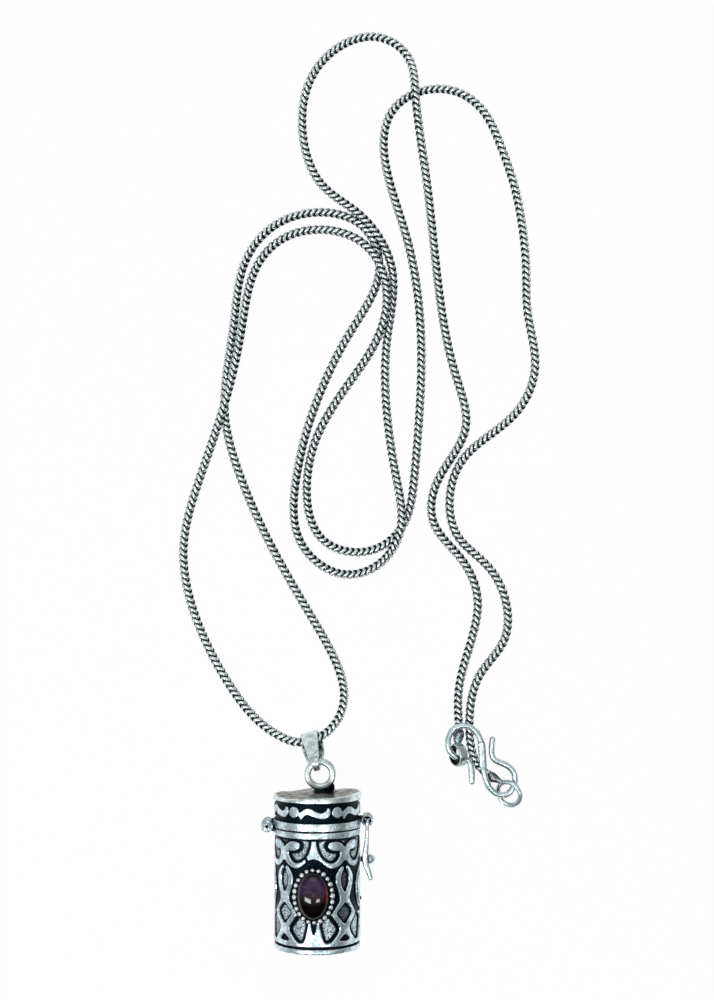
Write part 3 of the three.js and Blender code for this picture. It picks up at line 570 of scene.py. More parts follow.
def skin_group() -> bpy.types.NodeTree:
    """The skin of handled silver: dull clouds, black pinholes and fine scratches.

    Clouds are noise at the scale; pinholes are the darkest spots of a noise five times finer; scratches
    are noise on coordinates stretched along one way.
    """
    tree, given, out = group("handled skin", {"Scale": 900.0, "Pits": 0.5},
                             {"Dull": "NodeSocketFloat", "Pit": "NodeSocketFloat",
                               "Height": "NodeSocketFloat"})
    clouds = tree.spread(tree.noise(given["Scale"], 5.0, 0.65), 0.38, 0.66)
    fine = tree.noise(tree.sums("MULTIPLY", given["Scale"], 5.0), 1.0)
    pits = tree.sums("MULTIPLY", tree.spread(fine, 0.35, 0.27), given["Pits"], clamp=True)
    place = tree.node("ShaderNodeTexCoord").outputs["Object"]
    drawn = tree.node("ShaderNodeMapping", {}, Vector=place, Scale=(6.0, 0.7, 6.0))
    drawn.inputs["Rotation"].default_value = (0.3, 0.2, 0.5)
    scratch = tree.noise(tree.sums("MULTIPLY", given["Scale"], 2.0), 2.0, 0.5, drawn.outputs[0])
    dents = tree.noise(tree.sums("MULTIPLY", given["Scale"], 1.7), 2.0, 0.5)
    tree.feed(out["Dull"], tree.sums("ADD", clouds, tree.sums("MULTIPLY", pits, 0.5), clamp=True))
    tree.feed(out["Pit"], pits)
    height = tree.sums("SUBTRACT", tree.sums("MULTIPLY", dents, 1.3), pits)
    tree.feed(out["Height"], tree.sums("ADD", height, tree.sums("MULTIPLY", scratch, 0.3)))
    return tree.tree


def tarnish_and_shade_group() -> bpy.types.NodeTree:
    """Where black oxide and painted shade stay: below the relief, with an edge broken up by noise."""
    tree, given, out = group("blackening_and_shade", {"Relief": 1.0, "Breakup": 0.3, "Level": 0.5},
                             {"Black": "NodeSocketFloat"})
    worn = tree.sums("MULTIPLY", tree.sums("SUBTRACT", tree.noise(2600.0, 4.0), 0.5), given["Breakup"])
    height = tree.sums("SUBTRACT", tree.sums("ADD", given["Relief"], worn), given["Level"])
    tree.feed(out["Black"], tree.spread(height, 0.12, -0.12))
    return tree.tree


@dataclass(frozen=True)
class Silver:
    """A silver finish that keeps black oxide in its low places, and black painted shade where a piece's relief
    mark is lowered for shade.
    """

    name: str
    bright: tuple[float, float, float] = (0.80, 0.87, 0.88)
    dull: tuple[float, float, float] = (0.46, 0.50, 0.50)
    black: tuple[float, float, float] = (0.004, 0.009, 0.013)
    smooth: float = 0.26
    rough: float = 0.46
    scale: float = 900.0
    pits: float = 0.5
    bump: float = 0.35
    breakup: float = 0.3
    level: float = 0.5
    glint: float = 0.0
    # A warm grey painted into the base colour where the patch mark is high: a painted reflection of the
    # surroundings.
    painted_reflection_tone: tuple[float, float, float] | None = None

    def make(self, skin: bpy.types.NodeTree, blackening_and_shade: bpy.types.NodeTree) -> bpy.types.Material:
        """The material: silver between bright and dull, black where the relief mark is low.

        Args:
            skin, blackening: The shared groups.
        Returns:
            The material.
        """
        made = bpy.data.materials.new(self.name)
        made.use_nodes = True
        tree = Tree(made.node_tree)
        shader = made.node_tree.nodes["Principled BSDF"]
        relief = tree.node("ShaderNodeAttribute", {"attribute_name": "relief"}).outputs["Fac"]
        worn = tree.node("ShaderNodeGroup", {"node_tree": skin}, Scale=self.scale, Pits=self.pits)
        dark = tree.node("ShaderNodeGroup", {"node_tree": blackening_and_shade}, Relief=relief,
                         Breakup=self.breakup, Level=self.level).outputs["Black"]
        dark = tree.sums("MAXIMUM", dark, tree.sums("MULTIPLY", worn.outputs["Pit"], 0.9))
        metal = tree.mixed(worn.outputs["Dull"], (*self.bright, 1), (*self.dull, 1))
        ground: object = (*self.black, 1)
        patch = tree.node("ShaderNodeAttribute", {"attribute_name": "patch"}).outputs["Fac"]
        # Painted reflection: where the patch mark is high, the metal takes the warm grey tone.
        if self.painted_reflection_tone:
            painted_reflection_tone = tree.mixed(worn.outputs["Dull"], (*self.painted_reflection_tone, 1), (*(0.5 * v for v in self.painted_reflection_tone), 1))
            metal = tree.mixed(patch, metal, painted_reflection_tone)
        if self.glint:
            grain = tree.spread(tree.noise(3600.0, 3.0, 0.7), 0.36, 0.6)
            shine = tree.sums("MULTIPLY", tree.sums("MULTIPLY", patch, grain), self.glint, clamp=True)
            ground = tree.mixed(shine, ground, (*self.bright, 1))
        tree.feed(shader.inputs["Base Color"], tree.mixed(dark, metal, ground))
        rough = tree.spread(worn.outputs["Dull"], 0.0, 1.0, self.smooth, self.rough)
        rough = tree.sums("MAXIMUM", rough, tree.sums("MULTIPLY", dark, 0.5))
        tree.feed(shader.inputs["Roughness"], rough)
        bump = tree.node("ShaderNodeBump", {}, Strength=self.bump, Distance=0.00006,
                         Height=worn.outputs["Height"])
        tree.feed(shader.inputs["Normal"], bump.outputs[0])
        shader.inputs["Metallic"].default_value = 1.0
        return made


@dataclass(frozen=True)
class Garnet:
    """A nearly black stone: a painted purple-grey sheen in its upper part, maroon in the middle, and red at its
    right edge painted as light shining through.
    """

    name: str = "garnet"
    deep: tuple[float, float, float] = (0.0012, 0.0, 0.0010)
    painted_sheen: tuple[float, float, float] = (0.026, 0.010, 0.045)
    painted_streak: tuple[float, float, float] = (0.075, 0.070, 0.115)
    maroon: tuple[float, float, float] = (0.12, 0.001, 0.014)
    painted_glow: tuple[float, float, float] = (0.13, 0.002, 0.010)

    def make(self, centre: Array, half_width: float) -> bpy.types.Material:
        """The material, with its zones placed from the stone's middle and broken up by soft noise.

        Args:
            centre: The stone's middle in the model, in metres.
            half_width: Half its width, in metres.
        Returns:
            The material.
        """
        made = bpy.data.materials.new(self.name)
        made.use_nodes = True
        tree = Tree(made.node_tree)
        shader = made.node_tree.nodes["Principled BSDF"]
        place = tree.node("ShaderNodeTexCoord").outputs["Object"]
        local = tree.node("ShaderNodeMapping", {"vector_type": "TEXTURE"}, Vector=place,
                          Location=tuple(centre), Scale=(half_width,) * 3)
        split = tree.node("ShaderNodeSeparateXYZ", {}, Vector=local.outputs[0])
        across, along = split.outputs["X"], split.outputs["Y"]
        cloud = tree.noise(1.5, 3.0, 0.6, local.outputs[0])
        # Painted reflection: pale blue-grey lines across the upper part of the stone.
        painted_streak_mask = tree.sums("ABSOLUTE", tree.sums("SUBTRACT", tree.noise(1.3, 2.0, 0.5, local.outputs[0]), 0.5))
        # Painted sheen: the upper part of the stone is lighter than the lower part.
        upper = tree.sums("MULTIPLY", tree.spread(along, -0.25, 0.65), tree.spread(cloud, 0.3, 0.55))
        upper = tree.sums("MULTIPLY", upper, tree.spread(along, 1.45, 1.1))
        painted_streak_mask = tree.sums("MULTIPLY", tree.spread(painted_streak_mask, 0.022, 0.0), tree.spread(along, -0.1, 0.2))
        painted_streak_mask = tree.sums("MULTIPLY", painted_streak_mask, tree.spread(along, 0.95, 0.7))
        middle = tree.sums("MULTIPLY", tree.spread(tree.node(
            "ShaderNodeVectorMath", {"operation": "LENGTH"},
             Vector=local.outputs[0]).outputs["Value"], 0.7, 0.1),
            tree.spread(cloud, 0.40, 0.6))
        # Painted light: red light shining through the stone's right edge.
        reach = tree.sums("ADD", across, tree.sums("MULTIPLY", cloud, 0.5))
        edge = tree.spread(reach, 0.9, 1.35)
        height = tree.sums("ABSOLUTE", tree.sums("SUBTRACT", along, 0.3))
        edge = tree.sums("MULTIPLY", edge, tree.spread(height, 0.9, 0.2))
        colour = tree.mixed(upper, (*self.deep, 1), (*self.painted_sheen, 1))
        colour = tree.mixed(middle, colour, (*self.maroon, 1))
        colour = tree.mixed(tree.sums("MULTIPLY", painted_streak_mask, 0.7), colour, (*self.painted_streak, 1))
        tree.feed(shader.inputs["Base Color"], tree.mixed(edge, colour, (*self.painted_glow, 1)))
        tree.feed(shader.inputs["Roughness"], tree.spread(tree.noise(700.0), 0.4, 0.8, 0.04, 0.09))
        shader.inputs["IOR"].default_value = 1.45
        return made


@dataclass
class Finishes:
    """Every material of the necklace."""

    table: dict[str, bpy.types.Material] = field(default_factory=dict)

    def __post_init__(self) -> None:
        """Builds the shared groups and the silver finishes."""
        skin, blackening_and_shade = skin_group(), tarnish_and_shade_group()
        for finish in (
            Silver("band silver", bright=(0.78, 0.93, 0.97), dull=(0.39, 0.50, 0.54), pits=1.0, bump=0.6),
            Silver("ornament silver", bright=(0.78, 0.94, 0.99), dull=(0.36, 0.49, 0.54), pits=1.2,
                   glint=1.0, bump=0.6, breakup=0.6, level=0.57, smooth=0.22),
            Silver("lid relief silver", bright=(0.70, 0.85, 0.90), dull=(0.45, 0.55, 0.58), pits=0.3,
                   breakup=0.4, bump=0.4),
            # The lid top's warm grey face tone is a painted reflection.
            Silver("lid top silver", bright=(0.82, 0.93, 0.95), painted_reflection_tone=(0.17, 0.17, 0.145),
                   dull=(0.50, 0.58, 0.58), smooth=0.26, breakup=0.6, bump=0.5, pits=0.5),
            Silver("wall black", bright=(0.05, 0.07, 0.08), dull=(0.02, 0.03, 0.04), smooth=0.45,
                   rough=0.6),
            Silver("wire silver", bright=(0.70, 0.84, 0.87), dull=(0.46, 0.56, 0.58), pits=0.3, bump=0.3,
                   scale=1000.0, breakup=0.4),
            Silver("bail silver", bright=(0.74, 0.83, 0.83), dull=(0.48, 0.55, 0.55), pits=0.25,
                   bump=0.2, scale=650.0, breakup=0.4),
            Silver("solder silver", bright=(0.52, 0.61, 0.66), dull=(0.13, 0.17, 0.20), pits=0.9,
                   bump=0.9, scale=1500.0, breakup=0.9),
            Silver("chain silver", bright=(0.90, 0.97, 0.98), dull=(0.62, 0.70, 0.72), smooth=0.24,
                   rough=0.4, pits=0.1, bump=0.15, breakup=0.12, level=0.52, scale=1400.0),
            Silver("collar silver", bright=(0.6, 0.64, 0.63), dull=(0.32, 0.34, 0.33), scale=600.0),
        ):
            self.table[finish.name] = finish.make(skin, blackening_and_shade)

    def __getitem__(self, name: str) -> bpy.types.Material:
        """The material of that name."""
        return self.table[name]


# Chain and clasp


@dataclass
class SnakeChain:
    """The snake chain: three rows of slanted bars round a black core, in two halves from the bail; the core
    stands for the chain's blackened inside and the painted shade in it.
    """

    diameter: float = 1.62
    pitch: float = 1.05
    rows: int = 3
    run: float = 0.6
    sweep: float = 58.0
    bar_half_width: float = 0.29
    bar_half_height: float = 0.2
    core: float = 0.56
    rest_height: float = 0.815
    left: Points = (
        (-1.36, 34.35, 1.62), (-3.2, 33.78, 1.6), (-8.75, 35.95), (-13.95, 41.15), (-19.8, 51.0),
        (-23.5, 61.4), (-24.05, 70.1), (-21.45, 80.5), (-16.6, 94.7, 2.56), (-13.5, 109.1, 1.95),
        (-10.65, 119.85), (-3.3, 125.35), (8.8, 122.5, 2.56), (12.3, 112.3, 2.4), (9.4, 103.8, 1.4),
        (4.8, 97.1), (1.1, 91.25), (-1.5, 84.2), (0.5, 70.4), (9.6, 68.15), (15.5, 73.1), (17.2, 80.3),
        (17.9, 88.3), (18.55, 104.4), (16.0, 124.0), (11.95, 138.6), (12.9, 146.4), (17.05, 150.1),
        (24.0, 150.8), (29.4, 147.4), (32.85, 140.75), (35.3, 133.45), (36.75, 125.9), (37.4, 118.4),
        (37.65, 110.9), (39.0, 101.4), (35.35, 92.65), (26.95, 85.6), (23.85, 79.2), (25.05, 70.8),
        (31.25, 64.4), (33.6, 52.5), (29.2, 46.0), (27.2, 37.4), (28.6, 29.8), (30.8, 27.75, 0.95),
    )
    right: Points = (
        (-1.08, 34.42, 1.62), (0.4, 34.8, 1.6), (3.15, 37.15, 1.1), (4.7, 42.4), (-1.05, 56.0),
        (-9.3, 70.7), (-15.2, 85.05), (-16.8, 93.9), (-15.15, 108.9), (-13.1, 120.05), (-5.6, 127.7),
        (7.6, 126.7), (11.0, 118.6), (8.45, 111.65), (4.15, 104.5), (-1.9, 90.1), (-3.4, 84.0),
        (-4.4, 76.4), (-2.9, 69.15), (4.1, 63.95), (10.9, 65.65), (14.7, 71.6, 2.56), (13.8, 82.6),
        (12.3, 105.1), (13.25, 118.8), (7.5, 128.35, 1.45), (0.3, 134.3), (-2.75, 147.5), (1.4, 156.7),
        (10.4, 160.4), (16.15, 156.8), (17.4, 150.2, 2.56), (19.35, 135.7), (21.7, 115.0), (24.65, 99.9),
        (26.45, 89.9), (21.4, 80.5), (20.85, 72.9), (25.45, 66.95), (28.7, 58.8), (25.5, 44.5),
        (25.4, 35.9, 0.85),
    )

    def track(self, route: Points) -> Track:
        """The chain's middle: a smooth curve seen from above, its height eased from point to point."""
        flat = np.array([[p[0], p[1], 0.0] for p in route]) + CHAIN_START
        heights = np.array([p[2] if len(p) > 2 else self.rest_height for p in route])
        line = spline(flat, 0.1)
        nearest = np.linalg.norm(line[:, None] - flat[None], axis=-1).argmin(0)
        nearest[0], nearest[-1] = 0, len(line) - 1
        index = np.arange(len(line))
        place = np.clip(np.searchsorted(nearest, index, side="right") - 1, 0, len(route) - 2)
        share = (index - nearest[place]) / np.maximum(nearest[place + 1] - nearest[place], 1)
        eased = ease(0.0, 1.0, share)
        line[:, 2] = heights[place] * (1 - eased) + heights[place + 1] * eased
        return Track(line, np.array([0.0, 0.0, 1.0]))

    def twist(self, at: Array) -> Array:
        """How far the rows have turned round the chain at a length along it, in radians."""
        return 0.12 * np.sin(at / 9.0 + 0.6) + 0.22 * np.sin(at / 31.0 + 2.0)

    def bars(self, track: Track) -> tuple[Array, Array]:
        """Every bar of one half.

        A bar's middle runs over u from -1 to 1: along the chain by run * u and round it by sweep * u, at
        the chain's radius less the bar's half height. Its section is half_height outwards and half_width
        across, with each cosine and sine raised to 2 / 3, and it narrows at both ends by the fourth root
        of 1 - u**10. Its relief mark falls from its crest to its flanks, and round the chain to the sides;
        that fall round the chain is painted shade, which leaves the chain's upper side brightest.

        Returns:
            (bars, 6, 8, 3) places and their relief marks.
        """
        steps = np.arange(0.5, (track.length - 0.5) / self.pitch)
        row = np.repeat(np.arange(self.rows), len(steps))
        centre = (np.tile(steps, self.rows) + row / self.rows - 0.25) * self.pitch
        u = np.array([-1.0, -0.86, -0.32, 0.32, 0.86, 1.0])
        at = np.clip(centre[:, None] + self.run * u, 0.0, track.length)
        place, tangent, normal, side = track.read(at)
        angle = self.twist(centre)[:, None] + row[:, None] * 2 * np.pi / self.rows
        angle = (angle - np.radians(self.sweep) * u)[..., None]
        out = np.cos(angle) * normal + np.sin(angle) * side
        around = np.cos(angle) * side - np.sin(angle) * normal
        reach = self.diameter / 2 - self.bar_half_height
        way = unit(self.run * tangent - reach * np.radians(self.sweep) * around)
        across = np.cross(out, way)
        size = (np.clip(1 - np.abs(u) ** 10, 0.05, 1) ** 0.25)[:, None]
        middle = place + (reach - 0.04 * u[:, None] ** 4) * out
        turn = np.linspace(0, 2 * np.pi, 8, endpoint=False)[:, None]
        c, s = (np.sign(v) * np.abs(v) ** (2 / 3) for v in (np.cos(turn), np.sin(turn)))
        lift = (self.bar_half_height * size * out)[..., None, :] * c
        spread = (self.bar_half_width * size * across)[..., None, :] * s
        # Painted shade: bars that face down or sideways are darker than bars that face up.
        worn = 0.34 + 0.66 * ease(0.0, 0.62, out[..., 2:])
        relief = (0.62 + 0.38 * np.cos(turn[:, 0])) * worn
        return middle[..., None, :] + lift + spread, relief

    def half(self, name: str, route: Points, node: str, finish: bpy.types.Material) -> tuple:
        """Makes one half of the chain.

        Args:
            name: The piece's name.
            route: The points that it follows.
            node: The node that it stands for.
            finish: Its material.
        Returns:
            The object and its track.
        """
        track = self.track(route)
        piece = Piece(name)
        bars, relief = self.bars(track)
        piece.add(bars, relief=relief)
        # The black core is the chain's blackened inside together with painted shade between the bars.
        piece.add(wire(track, self.core, 8, 0.8, rounded=(False, False)), relief=0.0)
        return piece.build(Body.CHAIN, "chain_silver", finish, node, sharp=70.0), track

    def declare(self, track: Track) -> None:
        """Works out a half's path in metres, every eighth point and the last; nothing is done with it."""
        path = PLACE.metres(track.line[:: 8].tolist() + [track.line[-1].tolist()])


@dataclass
class Clasp:
    """End caps, the band ring, the wire ring and the S-hook with its hammered bar."""

    cap_radius: float = 0.86
    nose_radius: float = 0.5
    band_centre: tuple[float, float, float] = (25.08, 31.6, 2.2)
    band_axis: tuple[float, float, float] = (-0.86, -0.1, 0.5)
    band_radius: float = 2.1
    band_wall: float = 0.5
    band_width: float = 1.55
    wire_centre: tuple[float, float, float] = (34.22, 24.6, 1.8)
    wire_radius: float = 2.25
    wire_thick: float = 0.44
    wire_tilt: float = 37.0
    wire_lean: tuple[float, float, float] = (0.5, -0.866, 0.0)
    hook_wire: float = 0.55
    bar_wide: float = 1.25
    bar_thin: float = 0.72
    bar_from: float = 33.9
    bar_to: float = 29.3
    hook: Points = (
        (27.6, 26.15, 1.7), (27.55, 28.0, 1.7), (27.42, 29.4, 1.7), (27.1, 30.25, 1.75),
        (26.5, 30.8, 1.85), (25.66, 30.95, 2.05), (24.77, 31.2, 2.3), (23.97, 31.8, 2.42),
        (23.46, 32.6, 2.5), (23.27, 33.75, 2.5), (23.46, 34.93, 2.35), (24.04, 35.97, 2.25),
        (24.9, 36.6, 2.25), (25.95, 36.81, 2.25), (27.04, 36.65, 2.25), (28.05, 36.0, 2.25),
        (28.8, 34.99, 2.25), (29.2, 33.8, 2.25), (29.42, 31.67, 2.25), (29.54, 29.7, 2.25),
        (29.83, 28.1, 2.25), (30.3, 26.5, 2.1), (31.05, 25.28, 1.9), (32.15, 24.52, 1.72),
        (33.28, 24.33, 1.7), (34.2, 24.68, 1.7), (34.88, 25.55, 1.7), (35.25, 26.55, 1.7),
        (35.28, 27.58, 1.75), (34.95, 28.6, 1.85), (34.22, 29.37, 1.9), (33.35, 29.9, 1.95),
        (32.4, 30.29, 2.0), (31.66, 30.73, 2.0), (31.2, 31.47, 2.0), (31.1, 32.5, 2.0),
        (31.18, 33.65, 2.0), (31.35, 34.95, 2.0),
    )

    def cap(self, name: str, node: str, start: Array, end: Array, finish: bpy.types.Material, seed: int,
            bulge: float) -> bpy.types.Object:
        """A cap from the chain's end to the ring.

        Its radius falls from the cup's to the nose's along an eased line. It swells by bulge as the sine
        of pi times the share of the way, with lumps of solder as noise of a fifth of it.
        """
        share = np.linspace(0.0, 1.0, 22)[:, None]
        turn = np.linspace(0, 2 * np.pi, 28, endpoint=False)[None]
        radius = self.cap_radius + (self.nose_radius - self.cap_radius) * ease(0.35, 0.95, share)
        radius = radius + bulge * np.sin(np.pi * np.clip(share * 1.1 - 0.1, 0, 1))
        lumps = 0.18 * ripple(seed, (4, 5), share * 0.9, turn / (2 * np.pi)) * ease(0.05, 0.3, share)
        radius = radius * (1 + lumps)
        radius = radius * np.sqrt(np.clip(1 - np.clip(0.08 - share, 0, 1) * 4, 0.5, 1))
        length = np.linalg.norm(end - start)
        local = np.stack([radius * np.cos(turn), radius * np.sin(turn), share * length + 0 * turn], -1)
        rings = placed(local, start, end - start, (0, 0, 1))
        # Painted shade: the cap's underside is darker than its top.
        piece = Piece(name).add(rings, relief=0.1 + 0.5 * painted_underside_shade(rings, -0.2, 0.95))
        return piece.build(Body.CHAIN, "silver", finish, node)

    def band_ring(self, finish: bpy.types.Material) -> bpy.types.Object:
        """The flat ring: a rounded rectangle carried round its axis, a little uneven from the hammer."""
        middle = self.band_radius - self.band_wall / 2
        local = ring_of(middle, self.band_wall / 2, self.band_width / 2, 96, 24, 0.05, 5, 5.0)
        relief = 0.15 + 0.85 * ease(middle - 0.2, middle + 0.1, np.hypot(local[..., 0], local[..., 1]))
        rings = placed(local, self.band_centre + CHAIN_START, self.band_axis, (0, 1, 0))
        piece = Piece("flat_ring").add(rings, Ends.JOINED, relief)
        return piece.build(Body.CHAIN, "silver", finish, "band_ring")

    def wire_ring(self, finish: bpy.types.Material) -> bpy.types.Object:
        """The ring of round wire, low at its lower left and high at its upper right."""
        tilt = np.radians(self.wire_tilt)
        lean = np.array(self.wire_lean)
        axis = np.array([lean[1] * np.sin(tilt), -lean[0] * np.sin(tilt), np.cos(tilt)])
        local = ring_of(self.wire_radius, self.wire_thick, self.wire_thick, 96, 16, 0.05, 6)
        rings = placed(local, self.wire_centre + CHAIN_START, axis, lean)
        # Painted shade: the ring's underside is darker than its top.
        piece = Piece("round_ring").add(rings, Ends.JOINED, painted_underside_shade(rings))
        return piece.build(Body.CHAIN, "silver", finish, "wire_ring")

    def s_hook(self, finish: bpy.types.Material) -> bpy.types.Object:
        """The hook: a wire along its route, spread and thinned over the hammered bar."""
        track = Track(spline(self.hook + CHAIN_START, 0.08), np.array([0.0, 0.0, 1.0]))

        def hammered(at: Array) -> tuple[Array, Array]:
            place = track.read(at)[0] - CHAIN_START
            on_bar = ease(0.0, 0.7, np.minimum(self.bar_from - place[:, 1], place[:, 1] - self.bar_to) + 0.35)
            on_bar = on_bar * (np.abs(place[:, 0] - 29.3) < 1.2)
            uneven = 0.05 * ripple(8, (23, 1), at / track.length, 0 * at)
            return 1 + (self.bar_thin - 1) * on_bar + uneven, 1 + (self.bar_wide - 1) * on_bar + uneven

        rings = wire(track, self.hook_wire, 20, 0.1, hammered)
        # Painted shade: the hook's underside is darker than its top.
        piece = Piece("hook_wire").add(rings, relief=painted_underside_shade(rings))
        return piece.build(Body.HOOK, "silver", finish, "s_hook")


# Bail


@dataclass
class Bail:
    """The strap folded round the chain, narrow where it holds the hanging ring."""

    pivot: tuple[float, float] = (-0.342, 32.393)
    yaw: float = 16.0
    span: float = 6.67
    strap: float = 0.42
    loop_radius: float = 1.75
    ring_radius: float = 1.47
    lift: float = 0.05
    widths: Points = ((0.0, 1.15), (0.05, 1.35), (0.1, 1.9), (0.2, 2.3), (0.3, 2.75),
                      (0.45, 3.3), (0.56, 3.9),
                      (0.615, 4.0), (0.72, 3.6), (0.8, 3.1), (0.85, 2.0), (0.89, 1.25), (1.0, 1.15))

    def make(self, finish: bpy.types.Material) -> bpy.types.Object:
        """Makes the strap.

        Its middle goes round two circles, the ring's and the chain's, joined by straight runs. The
        section is a rectangle with round corners, as wide as the table says at that share of the way.
        """
        pivot = np.array([*self.pivot, PLACE.axis])
        tilt = np.arcsin((pivot[2] - self.loop_radius - self.lift) / self.span)
        yaw = np.radians(self.yaw)
        along = np.array([-np.sin(yaw) * np.cos(tilt), np.cos(yaw) * np.cos(tilt), -np.sin(tilt)])
        across = np.array([np.cos(yaw), np.sin(yaw), 0.0])
        up = np.cross(across, along)
        meet = np.arccos((self.ring_radius - self.loop_radius) / self.span)
        straight = np.linspace(0, 1, 30)[1:-1]
        sizes = self.ring_radius + (self.loop_radius - self.ring_radius) * straight
        near, far = np.zeros(14), np.full(46, self.span)
        centre = np.concatenate([near, self.span * straight, far, self.span * straight[::-1], near])
        radius = np.concatenate([near + self.ring_radius, sizes, far * 0 + self.loop_radius, sizes[::-1],
                                 near + self.ring_radius])
        angle = np.concatenate([np.linspace(np.pi, meet, 14), straight * 0 + meet,
                                np.linspace(meet, -meet, 46), straight * 0 - meet,
                                np.linspace(-meet, -np.pi, 15)[:-1]])
        flat = np.stack([centre + radius * np.cos(angle), radius * np.sin(angle)], 1)
        steps = np.linalg.norm(np.diff(flat, axis=0, append=flat[:1]), axis=1)
        share = np.concatenate([[0.0], np.cumsum(steps)[:-1]]) / steps.sum()
        table = np.array(self.widths)
        width = np.interp(share, table[:, 0], table[:, 1])
        width = np.convolve(np.concatenate([width[-4:], width, width[:4]]), np.ones(9) / 9, "valid")
        turn = np.linspace(0, 2 * np.pi, 28, endpoint=False)
        c, s = np.cos(turn), np.sin(turn)
        c, s = np.sign(c) * np.abs(c) ** 0.22, np.sign(s) * np.abs(s) ** 0.5
        inset = self.strap * (0.5 - 0.5 * s)
        crown = 0.06 * (1 - c**2)
        reach = radius[:, None] - inset[None] + crown[None] * (s > 0)
        side = 0.5 * width[:, None] * c[None]
        place = (pivot + along * (centre[:, None] + reach * np.cos(angle)[:, None])[..., None]
                 + up * (reach * np.sin(angle)[:, None])[..., None] + across * side[..., None])
        piece = Piece("folded_strap").add(place, Ends.JOINED, relief=0.6 + 0.4 * ease(0.1, 0.7, s)[None])
        grain = pearl(0.2, 8, 12)
        spot = pivot + along * 1.35 + up * (self.ring_radius + 0.02)
        piece.add(placed(grain, spot, up, across), relief=0.8)
        return piece.build(Body.BAIL, "silver", finish, "bail")


# Locket case


